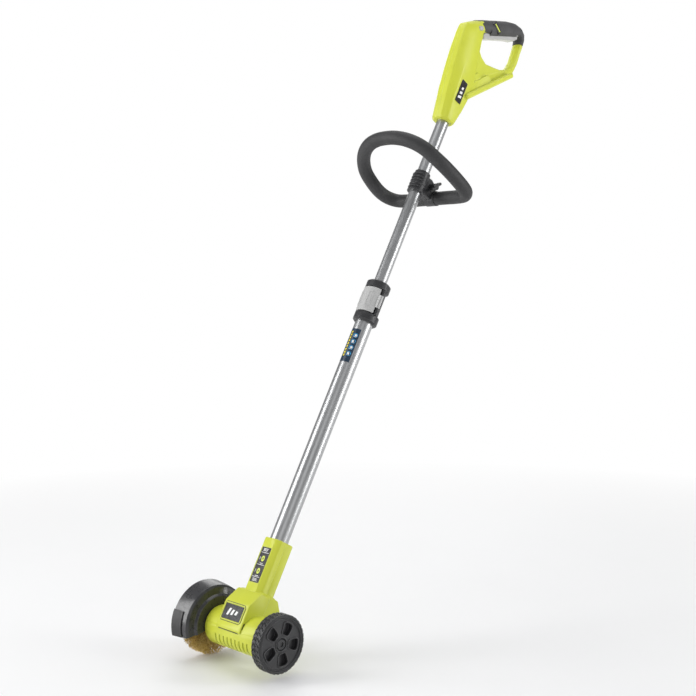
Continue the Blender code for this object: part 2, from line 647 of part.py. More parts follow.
add("lever_pin", rod("Z", C0 + 17.0, C1 - 15.5, LEVER_PIN_R, LEVER_PIN, 14), "zinc_screw")


def arc_outline(r0, r1, a0, a1, steps):
    inner = [(r0, a0 + (a1 - a0) * k / steps) for k in range(steps + 1)]
    outer = [(r1, a1 + (a0 - a1) * k / steps) for k in range(steps + 1)]
    return [(r * math.cos(math.radians(a)), r * math.sin(math.radians(a))) for r, a in inner + outer]


pad = arc_outline(LOWER_R + 2.8, LOWER_R + 6.6, -22.0, -158.0, 12)
lever = add("lock_lever", prism(pad, C0 + 16.2, C1 - 14.6, "Z"), "light_grey_plastic")
bevel(lever, 1.0, 1, 50.0)
join(lever, add("lever_knuckle", rod("Z", *KNUCKLE, KNUCKLE_R, LEVER_PIN, 18), "light_grey_plastic"))
bridge_box = box((LOWER_R + 2.95, LOWER_R + 6.2), (-9.5, PY), (KNUCKLE[0] + 0.2, KNUCKLE[1] - 0.2))
join(lever, add("lever_bridge", bridge_box, "light_grey_plastic"))
lever_bore = rod("Z", KNUCKLE[0] - 3.0, KNUCKLE[1] + 3.0, LEVER_PIN_R + 0.3, LEVER_PIN, 16)
cut(lever, add("lever_bore", lever_bore, "light_grey_plastic"))


# ---- pole: upper tube ------------------------------------------------------------------------------
def grooved_outline(radius, groove, seg=30, at=-138.0):
    """A circle with one lengthwise groove that keeps the tube from turning."""
    points = []
    for k in range(seg):
        a = 360.0 * k / seg
        off = abs((a - at + 180.0) % 360.0 - 180.0)
        r = radius - (groove if off < 6.0 else 0.0)
        points.append((r * math.cos(math.radians(a)), r * math.sin(math.radians(a))))
    return points


def upper_tube_mesh():
    seg = 30
    outer, inner = grooved_outline(UPPER_R, 0.7, seg), grooved_outline(UPPER_R - UPPER_WALL, 0.7, seg)
    z0, z1 = UPPER_Z
    return ring_loft([[(x, y, z0) for x, y in outer], [(x, y, z1) for x, y in outer]],
                     [[(x, y, z0) for x, y in inner], [(x, y, z1) for x, y in inner]])


add("upper_tube", upper_tube_mesh(), "aluminium_tube")
glide = pipe("Z", UPPER_Z[0] + 1.0, UPPER_Z[0] + 21.0, LOWER_BORE - 0.3, UPPER_R + 0.3)
add("tube_glide", glide, "white_plastic")

# ---- front handle: clamp, bolt, knob ---------------------------------------------------------------
K0, K1 = CLAMP_Z
HY, HZ = HOOP_PIVOT
BY, BZ = KNOB_AXIS


BOLT_R = 2.6


def clamp_half(name, side):
    rib, waist, band = UPPER_R + 4.4, UPPER_R + 3.0, UPPER_R + 3.7
    ring_profile = [(K0, rib), (K0 + 3.0, rib), (K0 + 4.5, waist), (K0 + 12.0, waist),
                    (K0 + 12.6, band), (K0 + 20.4, band), (K0 + 21.0, waist), (K1, waist)]
    half = add(name, lathe(ring_profile, "Z", seg=24), "black_plastic")
    arm = [(6.0, K0 + 6.0), (6.0, K1 - 2.0), (BY - 4.0, K1 - 1.0), (BY + 6.0, K1 - 5.0),
           (HY - 1.0, HZ + 8.0), (HY - 1.0, HZ - 7.0), (HY - 14.0, HZ - 9.5)]
    join(half, bevel(add(name + "_arm", prism(arm, -8.0, 8.0), "black_plastic"), 1.0, 1))
    boss = rod("X", -11.5, 11.5, HOOP_TUBE_R + 4.5, HOOP_PIVOT, 22, 1.0)
    join(half, add(name + "_boss", boss, "black_plastic"))
    cut(half, add(name + "_bore", rod("Z", K0 - 5.0, K1 + 5.0, UPPER_R + 0.35, seg=24), "black_plastic"))
    cut(half, add(name + "_bar_bore", rod("X", -15.0, 15.0, HOOP_TUBE_R + 0.4, HOOP_PIVOT, 22),
                  "black_plastic"))
    cut(half, add(name + "_bolt_bore", rod("X", -15.0, 15.0, BOLT_R + 0.3, KNOB_AXIS, 16),
                  "black_plastic"))
    x = (-30.0, -0.15) if side < 0 else (0.15, 30.0)
    space = box(x, (-UPPER_R - 20.0, HY + 28.0), (K0 - 30.0, K1 + 32.0))
    return keep(half, add(name + "_space", space, "black_plastic"))


clamp_half("handle_clamp_left", -1)
clamp_half("handle_clamp_right", 1)
add("clamp_bolt", lathe([(-11.6, BOLT_R * 2.0), (-8.3, BOLT_R * 2.0), (-8.3, BOLT_R), (17.0, BOLT_R)],
                        "X", KNOB_AXIS, 12), "zinc_screw")


def wing_outline(reach, half, lean):
    shape = [(-reach, -half), (-4.0, -half * 0.7), (4.0, -half * 0.7), (reach, -half),
             (reach + 1.2, 0.0), (reach, half), (4.0, half * 0.7), (-4.0, half * 0.7), (-reach, half),
             (-reach - 1.2, 0.0)]
    ca, sa = math.cos(math.radians(lean)), math.sin(math.radians(lean))
    return [(BY + u * ca - v * sa, BZ + u * sa + v * ca) for u, v in shape]


knob = add("wing_knob", rod("X", 8.4, 19.5, 6.0, KNOB_AXIS, 18), "black_plastic")
join(knob, bevel(add("knob_wings", prism(wing_outline(12.0, 2.6, 60.0), 12.6, 21.5),
                     "black_plastic"), 0.8, 1))
cut(knob, add("knob_bore", rod("X", 7.0, 17.4, BOLT_R + 0.3, KNOB_AXIS, 16), "black_plastic"))


# ---- front handle: hoop ----------------------------------------------------------------------------
def hoop_path():
    """Centre line from one end of the bar, round the front, to the other end; mirrored about x = 0."""
    w, reach = HOOP_HALF_W, HOOP_REACH
    half = [(0.7, 0.0, 0.0), (12.4, 0.0, 0.0), (35.0, 0.0, 0.0), (55.0, 0.5, -0.5),
            (w * 0.80, 4.0, -1.5), (w * 0.925, 14.0, -2.5), (w * 0.985, 28.0, -3.0), (w, 45.0, -2.0),
            (w * 0.985, 64.0, 0.5), (w * 0.945, reach * 0.57, 4.0), (w * 0.88, reach * 0.68, 8.0),
            (w * 0.775, reach * 0.79, 14.0), (w * 0.63, reach * 0.88, 19.0), (w * 0.44, reach * 0.95, 22.5),
            (w * 0.22, reach * 0.99, 24.5), (0.0, reach, 25.0)]
    other = [(-x, d, h) for x, d, h in reversed(half[:-1])]
    return [(x, HY - d, HZ + h) for x, d, h in half + other]


def path_frames(path):
    """Directions across the path at each point, carried along without twisting."""
    frames = []
    side = (0.0, 0.0, 1.0)
    for i, p in enumerate(path):
        a, b = path[max(i - 1, 0)], path[min(i + 1, len(path) - 1)]
        t = [b[k] - a[k] for k in range(3)]
        size = math.sqrt(sum(c * c for c in t))
        t = [c / size for c in t]
        dot = sum(side[k] * t[k] for k in range(3))
        up = [side[k] - dot * t[k] for k in range(3)]
        size = math.sqrt(sum(c * c for c in up))
        up = [c / size for c in up]
        across = [t[1] * up[2] - t[2] * up[1], t[2] * up[0] - t[0] * up[2], t[0] * up[1] - t[1] * up[0]]
        frames.append((p, up, across))
        side = tuple(up)
    return frames


def sections(frames, size, seg=10):
    """Round or oval outlines round a path; size gives (height, width) half sizes at each point."""
    out = []
    for i, (p, up, across) in enumerate(frames):
        hu, hw = size(i)
        ring = []
        for k in range(seg):
            a = 2.0 * math.pi * (k + 0.5) / seg
            u, v = hu * math.cos(a), hw * math.sin(a)
            ring.append(tuple(p[m] + up[m] * u + across[m] * v for m in range(3)))
        out.append(ring)
    return out


hoop = path_frames(hoop_path())
add("hoop_tube", ring_loft(sections(hoop, lambda i: (HOOP_TUBE_R, HOOP_TUBE_R)),
                           sections(hoop, lambda i: (HOOP_TUBE_R - 1.8, HOOP_TUBE_R - 1.8))), "steel")
sleeve = hoop[1:-1]
add("hoop_grip", ring_loft(sections(sleeve, lambda i: (HOOP_R, HOOP_R)),
                           sections(sleeve, lambda i: (HOOP_TUBE_R + 0.3, HOOP_TUBE_R + 0.3))),
    "foam_black")

# ---- rear handle: housing halves -------------------------------------------------------------------
FOOT_AT = (16.0, -6.0)
FOOT_DIR = (0.611, 0.792)


def foot(s, n):
    """Distance s along the battery foot and n up from its mouth, as y and z."""
    (y, z), (dy, dz) = FOOT_AT, FOOT_DIR
    return (y + s * dy - n * dz, z + s * dz + n * dy)


# height; then, from the tube's surface: front half width, front, side half width, chamfer, back,
# back half width
SPINE = [(-65.0, -1.5, 6.5, 5.5, -1.5, 2.0, -2.0), (-61.0, -0.5, 8.5, 7.5, 0.0, 4.5, -1.0),
         (-32.0, 0.0, 14.0, 8.4, 2.5, 10.0, 0.0), (-7.0, 0.3, 19.0, 9.0, 4.5, 13.0, 1.0),
         (33.0, 0.5, 24.5, 9.0, 7.0, 11.0, 1.0), (70.0, 0.0, 29.0, 8.8, 9.0, 3.0, 1.0),
         (108.0, -1.4, 31.6, 7.8, 10.5, -5.0, 1.0), (122.0, -2.5, 31.4, 6.6, 11.5, -6.0, 1.0),
         (131.0, -4.0, 23.0, 5.5, 9.0, -7.0, 0.5), (150.0, -6.0, 2.0, 2.0, -3.0, -7.0, -3.0)]
ROOM = slice(3, 7)         # rows of the spine that are hollow


def spine_section(row, inset=0.0, lift=0.0):
    f, front, w, chamfer, back, b = (UPPER_R + v for v in row[1:])
    z = row[0] + lift
    f, w, b = f - inset * 0.5, w - inset, b - inset * 0.5
    yf, yc, yb = inset - front, -chamfer, back - inset
    return [(-f, yf, z), (f, yf, z), (w, yc, z), (w, yb - 6.0, z), (b, yb, z), (-b, yb, z),
            (-w, yb - 6.0, z), (-w, yc, z)]


GRIP_PATH = [(-24.0, 126.0), (-6.0, 140.0), (6.0, 149.0), (13.0, 154.0), (13.6, 154.5),
             (36.0, 171.5), (59.0, 188.5), (76.0, 199.0), (90.0, 203.5), (99.0, 201.0),
             (104.0, 194.5), (105.7, 185.4), (106.1, 183.3), (107.2, 166.0), (108.6, 146.0),
             (106.0, 128.0), (98.0, 112.0)]
GRIP_SIZE = [(11.0, 13.0), (12.5, 15.0), (13.2, 15.4), (13.4, 15.5), (13.4, 15.5), (13.4, 15.8),
             (13.3, 15.8), (12.6, 15.4), (10.6, 14.4), (8.8, 13.2), (7.6, 12.0), (7.0, 11.2),
             (7.0, 11.2), (6.6, 10.6), (6.8, 10.8), (7.4, 11.4), (8.0, 11.8)]
SOFT = (4, 11)             # path points covered by the soft grip
CHEEKS = [5.0, 5.0, 5.0, 4.5, 2.0, 0.0, 0.0, 0.0]   # how far its sides hang past the trigger's top


def grip_frames():
    frames = []
    for i, (y, z) in enumerate(GRIP_PATH):
        a, b = GRIP_PATH[max(i - 1, 0)], GRIP_PATH[min(i + 1, len(GRIP_PATH) - 1)]
        ty, tz = b[0] - a[0], b[1] - a[1]
        size = math.hypot(ty, tz)
        frames.append(((0.0, y, z), (0.0, -tz / size, ty / size), (1.0, 0.0, 0.0)))
    return frames


GRIP = grip_frames()


def grip_core_size(i):
    hu, hw = GRIP_SIZE[i]
    skin = 2.4 if SOFT[0] <= i <= SOFT[1] else 0.0
    return (hu - skin, hw - skin)


TRIGGER_SLOT = [(9.0, 116.0), (-1.0, 133.0), (-2.0, 143.4), (46.0, 180.6), (76.0, 199.4),
                (88.0, 199.4), (94.0, 194.0), (94.0, 186.0), (88.0, 171.0)]
TRIGGER = [(12.0, 126.6), (33.0, 142.0), (55.0, 158.6), (74.0, 171.8), (84.0, 177.5),
           (91.6, 188.0), (90.6, 193.8), (85.0, 195.8), (77.0, 191.5), (48.0, 169.0),
           (24.0, 151.0), (9.4, 139.5), (8.0, 132.0)]
HOUSING_SCREWS = [(-19.5, -15.0, -12.5), (31.0, 79.0, -10.5), (86.0, 108.5, -10.0)]
BADGE_Z = (-26.0, 18.0)
SIDE_X = UPPER_R + 9.0     # flat side of the spine


def block(body, name, outline, half_w, width, segments, angle):
    """Join a rounded block, given by its outline seen from the side, onto the handle."""
    piece = on_handle(name, prism(outline, -half_w, half_w), "lime_plastic")
    return join(body, bevel(piece, width, segments, angle))


def handle_outer(name):
    body = on_handle(name, loft([spine_section(row) for row in SPINE]), "lime_plastic")
    bevel(body, 1.6, 1, 28.0)
    web = [(-18.0, 0.0), foot(2.0, 4.0), foot(FOOT_LEN - 8.0, 4.0), (112.0, 120.0), (100.0, 125.0),
           (88.0, 113.5), (73.0, 103.0), (58.0, 96.5), (36.0, 88.0), (20.0, 91.5), (8.0, 99.0),
           (2.0, 110.0), (5.0, 122.0), (3.0, 134.0), (-16.0, 136.0)]
    block(body, name + "_web", web, 12.5, 2.0, 1, 40.0)
    core = loft(sections(GRIP, grip_core_size, 14))
    join(body, on_handle(name + "_grip_core", core, "lime_plastic"))
    slab = [foot(-4.0, 0.0), foot(FOOT_LEN, 0.0), foot(FOOT_LEN, 8.5), foot(FOOT_LEN - 8.0, 10.0),
            foot(-4.0, 10.0)]
    block(body, name + "_foot", slab, FOOT_HALF_W, 2.4, 1, 40.0)
    end = SOCKET[1]
    low = [foot(-3.0, 1.0), foot(end + 29.0, 1.0), foot(end + 29.0, 19.0), foot(end + 24.0, 23.5),
           foot(0.0, 23.5)]
    block(body, name + "_stem_low", low, SOCKET_HALF_W + 4.0, 1.5, 1, 40.0)
    top = SOCKET_DEPTH + 7.0
    high = [foot(0.0, 2.0), foot(end + 5.0, 2.0), foot(end + 5.0, top - 4.0), foot(end, top),
            foot(0.0, top)]
    block(body, name + "_stem_high", high, SOCKET_HALF_W + 2.0, 1.5, 1, 40.0)
    return body


def handle_cuts(name, body):
    bore = rod("Z", -100.0, 0.5, UPPER_R + GAP, seg=24)
    rows = SPINE[ROOM]
    lifts = [10.0] + [0.0] * (len(rows) - 2) + [-2.0]
    room = [spine_section(row, 3.0, lift) for row, lift in zip(rows, lifts)]
    s0, s1 = SOCKET
    mouth = [foot(s0, -3.0), foot(s1, -3.0), foot(s1, SOCKET_DEPTH), foot(s0, SOCKET_DEPTH)]
    slot_w = TRIGGER_HALF_W + 0.6
    button = on_handle(name + "_button_hole", prism(button_outline(0.3), -30.0, 30.0), "lime_plastic")
    holes = [screw_hole("X", x, 7.0, (y, z), head_r=2.9) for y, z, x in HOUSING_SCREWS]
    bed = box((SIDE_X - 0.4, SIDE_X + 4.0), (-11.4, 4.4), (BADGE_Z[0] - 0.4, BADGE_Z[1] + 0.4))
    tools = {"tube_bore": bore, "room": loft(room),
             "battery_pocket": prism(mouth, -SOCKET_HALF_W, SOCKET_HALF_W),
             "trigger_slot": prism(TRIGGER_SLOT, -slot_w, slot_w),
             "trigger_pin_bore": rod("X", -11.0, 11.0, PIN_R + 0.3, TRIGGER_PIN, 14)}
    for label, bm in tools.items():
        cut(body, on_handle(name + "_" + label, bm, "lime_plastic"))
    cut(body, bevel(button, 1.8, 1, 40.0))
    cut(body, on_handle(name + "_screw_holes", merged(holes), "lime_plastic"))
    return cut(body, on_handle(name + "_badge_bed", bed, "lime_plastic", False))


def button_outline(grow=0.0):
    """Lock-off button, a rounded block turned to follow the grip."""
    y, z = LOCK_BUTTON
    a, b = 6.2 + grow, 3.9 + grow
    return [(y + u * 0.8 - v * 0.6, z + u * 0.6 + v * 0.8)
            for u, v in ((-a, -b), (a, -b), (a, b), (-a, b))]


def handle_half(name, side):
    body = handle_cuts(name, handle_outer(name))
    x = (-60.0, -0.1) if side < 0 else (0.1, 60.0)
    space = box(x, (-90.0, FOOT_LEN + 30.0), (-100.0, 260.0))
    return keep(body, on_handle(name + "_space", space, "lime_plastic"))


handle_half("handle_housing_left", -1)
handle_half("handle_housing_right", 1)
for n, (hy, hz, hx) in enumerate(HOUSING_SCREWS, 1):
    screw("housing_screw_%d" % n, "X", hx, 7.0, (hy, hz), handle_frame, head_r=2.9)
badge = box((SIDE_X - 0.15, SIDE_X + 0.45), (-11.0, 4.0), BADGE_Z)
on_handle("handle_badge", badge, "label_black", smooth=False)

# ---- rear handle: grip, trigger and what is inside -------------------------------------------------
soft = GRIP[SOFT[0]:SOFT[1] + 1]


def soft_size(extra):
    def size(i):
        hu, hw = GRIP_SIZE[SOFT[0] + i]
        return (hu - extra, hw - extra)
    return size


def cheek_size(i):
    hu, hw = GRIP_SIZE[SOFT[0] + i]
    return (hu + CHEEKS[i] / 2.0, hw)


hung = [(tuple(p[k] - up[k] * drop / 2.0 for k in range(3)), up, across)
        for (p, up, across), drop in zip(soft, CHEEKS)]
sleeve = ring_loft(sections(hung, cheek_size, 14), sections(soft, soft_size(2.1), 14))
soft_grip = on_handle("soft_grip", sleeve, "grip_rubber")
soft_slot = prism(TRIGGER_SLOT, -TRIGGER_HALF_W - 0.8, TRIGGER_HALF_W + 0.8)
pin_room = rod("X", -11.0, 11.0, PIN_R + 0.35, TRIGGER_PIN, 14)
cut(soft_grip, on_handle("soft_grip_slot", soft_slot, "grip_rubber", False),
    on_handle("soft_grip_pin_room", pin_room, "grip_rubber", False))

trigger = on_handle("trigger", prism(TRIGGER, -TRIGGER_HALF_W, TRIGGER_HALF_W), "light_grey_plastic")
trigger_bore = rod("X", -12.0, 12.0, PIN_R + 0.35, TRIGGER_PIN, 14)
cut(bevel(trigger, 1.0, 1, 40.0), on_handle("trigger_bore", trigger_bore, "light_grey_plastic"))
on_handle("trigger_pin", rod("X", -10.6, 10.6, PIN_R, TRIGGER_PIN, 14), "zinc_screw")
button_reach = UPPER_R + 7.4
button = prism(button_outline(), -button_reach, button_reach)
bevel(on_handle("lock_off_button", button, "light_grey_plastic"), 1.5, 1, 40.0)

switch = box((-9.0, 9.0), (-27.0, -5.0), (70.0, 100.0))
bevel(on_handle("switch_body", switch, "black_plastic", False), 0.8, 1, 40.0)
s0, s1 = SOCKET[0] + 3.0, SOCKET[1] - 3.0
n0, n1 = SOCKET_DEPTH - 10.0, SOCKET_DEPTH - 2.0
terminal = prism([foot(s0, n0), foot(s1, n0), foot(s1, n1), foot(s0, n1)],
                 4.0 - SOCKET_HALF_W, SOCKET_HALF_W - 4.0)
bevel(on_handle("terminal_block", terminal, "black_plastic", False), 0.8, 1, 40.0)
for n, bx in enumerate((-6.0, 5.2), 1):
    blade = [foot(s0 + 5.0, n0 - 4.0), foot(s1 - 5.0, n0 - 4.0), foot(s1 - 5.0, n0 - 0.3),
             foot(s0 + 5.0, n0 - 0.3)]
    on_handle("battery_contact_%d" % n, prism(blade, bx, bx + 0.8), "brass_contact", False)
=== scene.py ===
"""Looks of a cordless patio and crevice cleaner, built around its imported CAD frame.

Sizes are millimetres in the pole frame: the origin is where the axle meets the pole, X runs along
the axle toward the guide wheel, Z up the pole and Y back toward the user. Rear handle sizes are
measured the same way from the top end of the upper tube.
"""

import json
import math
import random

import bmesh
import bpy
from mathutils import Matrix, Vector


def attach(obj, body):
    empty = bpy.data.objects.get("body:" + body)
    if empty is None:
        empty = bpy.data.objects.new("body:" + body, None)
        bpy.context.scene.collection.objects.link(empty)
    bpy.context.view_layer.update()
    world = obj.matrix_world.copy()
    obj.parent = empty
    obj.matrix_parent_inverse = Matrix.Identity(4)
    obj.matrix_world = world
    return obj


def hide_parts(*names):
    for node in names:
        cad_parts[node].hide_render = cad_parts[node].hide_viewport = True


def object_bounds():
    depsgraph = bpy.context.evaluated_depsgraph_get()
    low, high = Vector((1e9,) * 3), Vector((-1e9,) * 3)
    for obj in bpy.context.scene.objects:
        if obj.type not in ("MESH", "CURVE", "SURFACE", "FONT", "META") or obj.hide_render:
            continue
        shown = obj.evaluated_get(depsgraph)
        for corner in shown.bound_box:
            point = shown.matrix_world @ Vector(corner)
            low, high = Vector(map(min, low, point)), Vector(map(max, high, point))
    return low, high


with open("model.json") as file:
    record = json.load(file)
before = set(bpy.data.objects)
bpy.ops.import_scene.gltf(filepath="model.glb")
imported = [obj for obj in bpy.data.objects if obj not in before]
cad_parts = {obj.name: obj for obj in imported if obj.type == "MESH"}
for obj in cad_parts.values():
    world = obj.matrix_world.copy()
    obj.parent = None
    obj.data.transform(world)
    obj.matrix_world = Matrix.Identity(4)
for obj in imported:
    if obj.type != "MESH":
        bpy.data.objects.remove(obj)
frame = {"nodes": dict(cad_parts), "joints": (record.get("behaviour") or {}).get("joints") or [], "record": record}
cad_low, cad_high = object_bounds()

MM = 0.001
NODES = frame["nodes"]
JOINTS = {joint["name"]: joint for joint in frame["joints"]}
BODY = {node: body for body, members in frame["record"]["behaviour"]["bodies"].items()
        for node in members}
SLOT = {part["node"]: part["material_slot"] for part in frame["record"]["subparts"]}

UP = -Vector(JOINTS["pole_telescope"]["axis"]).normalized()
ACROSS = Vector((1.0, 0.0, 0.0))
BACK = UP.cross(ACROSS)
AXLE = Vector(JOINTS["brush_spin"]["pos_m"])
TURN = Matrix((ACROSS, BACK, UP)).transposed()
POLE = Matrix.Translation(AXLE) @ TURN.to_4x4() @ Matrix.Scale(MM, 4)


def pole_box(node):
    """Lowest and highest corner of a CAD node in the pole frame, in millimetres."""
    back = POLE.inverted()
    points = [back @ v.co for v in NODES[node].data.vertices]
    return (Vector([min(p[k] for p in points) for k in range(3)]),
            Vector([max(p[k] for p in points) for k in range(3)]))


TUBE_TOP = pole_box("upper_tube")[1].z
HANDLE = POLE @ Matrix.Translation((0.0, 0.0, TUBE_TOP))


# ---- camera, floor and light ---------------------------------------------------------------------
def make_camera():
    """Stands front right of the head at knee height and looks a little up the leaning pole."""
    right = Vector((0.69572, 0.62739, 0.34978))
    up = Vector((-0.03556, -0.45628, 0.88913))
    away = Vector((0.71743, -0.63103, -0.29513))
    data = bpy.data.cameras.new("camera")
    data.lens, data.sensor_width = 57.8, 36.0
    camera = bpy.data.objects.new("camera", data)
    turn = TURN @ Matrix((right, up, away)).transposed()
    camera.matrix_world = turn.to_4x4()
    camera.location = POLE @ Vector((1317.9, -1172.6, -62.8))
    bpy.context.scene.collection.objects.link(camera)
    bpy.context.scene.camera = camera


def area_light(name, place, aim, size, power):
    data = bpy.data.lights.new(name, "AREA")
    data.shape, data.size, data.size_y = "RECTANGLE", size[0], size[1]
    data.energy = power
    lamp = bpy.data.objects.new(name, data)
    lamp.location = place
    lamp.rotation_euler = (Vector(aim) - Vector(place)).to_track_quat("-Z", "Y").to_euler()
    bpy.context.scene.collection.objects.link(lamp)


def make_world():
    """Even white backdrop for the eye, softer grey surroundings for the reflections."""
    world = bpy.data.worlds.new("studio")
    bpy.context.scene.world = world
    world.use_nodes = True
    nodes, links = world.node_tree.nodes, world.node_tree.links
    nodes.clear()
    place = nodes.new("ShaderNodeTexCoord")
    split = nodes.new("ShaderNodeSeparateXYZ")
    ramp = nodes.new("ShaderNodeValToRGB")
    ramp.color_ramp.elements[0].position = 0.35
    ramp.color_ramp.elements[0].color = (0.62, 0.62, 0.62, 1.0)
    ramp.color_ramp.elements[1].position = 0.75
    ramp.color_ramp.elements[1].color = (0.80, 0.81, 0.83, 1.0)
    half = nodes.new("ShaderNodeMapRange")
    half.inputs["From Min"].default_value = -1.0
    ambient, backdrop = nodes.new("ShaderNodeBackground"), nodes.new("ShaderNodeBackground")
    ambient.inputs["Strength"].default_value = 0.42
    backdrop.inputs["Color"].default_value = (1.0, 1.0, 1.0, 1.0)
    backdrop.inputs["Strength"].default_value = 1.0
    eye, mix = nodes.new("ShaderNodeLightPath"), nodes.new("ShaderNodeMixShader")
    out = nodes.new("ShaderNodeOutputWorld")
    links.new(place.outputs["Generated"], split.inputs[0])
    links.new(split.outputs["Z"], half.inputs["Value"])
    links.new(half.outputs[0], ramp.inputs["Fac"])
    links.new(ramp.outputs["Color"], ambient.inputs["Color"])
    links.new(eye.outputs["Is Camera Ray"], mix.inputs[0])
    links.new(ambient.outputs[0], mix.inputs[1])
    links.new(backdrop.outputs[0], mix.inputs[2])
    links.new(mix.outputs[0], out.inputs["Surface"])


def make_studio():
    """Large soft lights to the left and right of the camera leave edges and the tubes' middles dark."""
    bpy.context.scene.view_settings.view_transform = "Standard"
    make_world()
    middle = (cad_low + cad_high) / 2.0
    side, toward = Vector((0.70, 0.71, 0.0)), Vector((0.71, -0.70, 0.0))
    high = Vector((0.0, 0.0, 1.0))
    area_light("left", middle - side * 2.3 + toward * 0.45 + high * 0.5, middle, (0.9, 2.4), 42.0)
    area_light("right", middle + side * 2.2 + toward * 0.55 + high * 0.3, middle, (0.55, 2.4), 28.0)
    area_light("top", middle - toward * 0.2 + high * 2.4, middle, (2.2, 2.2), 27.0)
    area_light("front", middle + toward * 2.6 + high * 0.9, middle, (1.6, 1.6), 6.0)
    area_light("back", middle - toward * 2.2 + high * 1.0, middle, (1.4, 2.0), 15.0)
    bm = bmesh.new()
    bmesh.ops.create_grid(bm, x_segments=2, y_segments=2, size=30.0)
    mesh = bpy.data.meshes.new("floor")
    bm.to_mesh(mesh)
    bm.free()
    floor = bpy.data.objects.new("floor", mesh)
    floor.location = (middle.x, middle.y, cad_low.z - 0.0005)
    bpy.context.scene.collection.objects.link(floor)
    mesh.materials.append(floor_finish())


def floor_finish():
    """Pale floor near the tool that fades into the backdrop farther out."""
    g = Graph("pale_floor")
    place = g.place()
    cloud = g.noise(place, 3.0, 3.0)
    g.join(g.mix(cloud, (0.86, 0.86, 0.86), (0.89, 0.89, 0.89)), g.shader.inputs["Base Color"])
    g.join(g.spread(g.noise(place, 40.0), 0.55, 0.65), g.shader.inputs["Roughness"])
    reach = g.add("VectorMath", operation="LENGTH")
    g.join(place, reach.inputs[0])
    glow, blend = g.add("Emission"), g.add("MixShader")
    g.join(g.spread(reach.outputs["Value"], 0.0, 1.0, 0.35, 1.9), blend.inputs[0])
    g.join(g.shader.outputs[0], blend.inputs[1])
    g.join(glow.outputs[0], blend.inputs[2])
    g.join(blend.outputs[0], g.nodes["Material Output"].inputs["Surface"])
    return g.mat


# ---- materials -----------------------------------------------------------------------------------
class Graph:
    """Short names for building one material's nodes."""

    def __init__(self, name):
        self.mat = bpy.data.materials.new(name)
        self.mat.use_nodes = True
        self.nodes, self.links = self.mat.node_tree.nodes, self.mat.node_tree.links
        self.shader = self.nodes["Principled BSDF"]

    def add(self, kind, **values):
        node = self.nodes.new("ShaderNode" + kind)
        for key, value in values.items():
            setattr(node, key, value)
        return node

    def join(self, source, target):
        self.links.new(source, target)

    def place(self, turned=False, stretch=(1.0, 1.0, 1.0)):
        """Object coordinates; turned puts them along the pole, stretch scales each direction."""
        out = self.add("TexCoord").outputs["Object"]
        if turned:
            lean = self.add("Mapping")
            lean.inputs["Rotation"].default_value = TURN.inverted().to_euler()
            self.join(out, lean.inputs["Vector"])
            out = lean.outputs["Vector"]
        scale = self.add("Mapping")
        scale.inputs["Scale"].default_value = stretch
        self.join(out, scale.inputs["Vector"])
        return scale.outputs["Vector"]

    def noise(self, place, scale, detail=3.0, rough=0.55):
        node = self.add("TexNoise")
        for key, value in (("Scale", scale), ("Detail", detail), ("Roughness", rough)):
            node.inputs[key].default_value = value
        self.join(place, node.inputs["Vector"])
        return node.outputs["Fac"]

    def spread(self, value, low, high, start=0.3, end=0.7):
        node = self.add("MapRange")
        for key, number in (("From Min", start), ("From Max", end), ("To Min", low), ("To Max", high)):
            node.inputs[key].default_value = number
        self.join(value, node.inputs["Value"])
        return node.outputs[0]

    def math(self, operation, a, b):
        node = self.add("Math", operation=operation)
        for socket, value in zip(node.inputs, (a, b)):
            if isinstance(value, float):
                socket.default_value = value
            else:
                self.join(value, socket)
        return node.outputs[0]

    def mix(self, factor, a, b):
        node = self.add("Mix", data_type="RGBA")
        self.join(factor, node.inputs[0])
        for socket, value in zip((node.inputs[6], node.inputs[7]), (a, b)):
            if isinstance(value, tuple):
                socket.default_value = (*value[:3], 1.0)
            else:
                self.join(value, socket)
        return node.outputs[2]

    def edges(self, radius):
        """Near 1 on edges and corners, 0 on flats."""
        soft, true = self.add("Bevel"), self.add("NewGeometry")
        soft.samples = 4
        soft.inputs["Radius"].default_value = radius
        dot = self.add("VectorMath", operation="DOT_PRODUCT")
        self.join(soft.outputs[0], dot.inputs[0])
        self.join(true.outputs["Normal"], dot.inputs[1])
        return self.spread(dot.outputs["Value"], 1.0, 0.0, 0.86, 0.995)

    def bump(self, height, strength, depth, under=None):
        node = self.add("Bump")
        node.inputs["Strength"].default_value = strength
        node.inputs["Distance"].default_value = depth
        self.join(height, node.inputs["Height"])
        if under is not None:
            self.join(under, node.inputs["Normal"])
        return node.outputs["Normal"]


def shade(colour, factor):
    return tuple(min(1.0, c * factor) for c in colour)


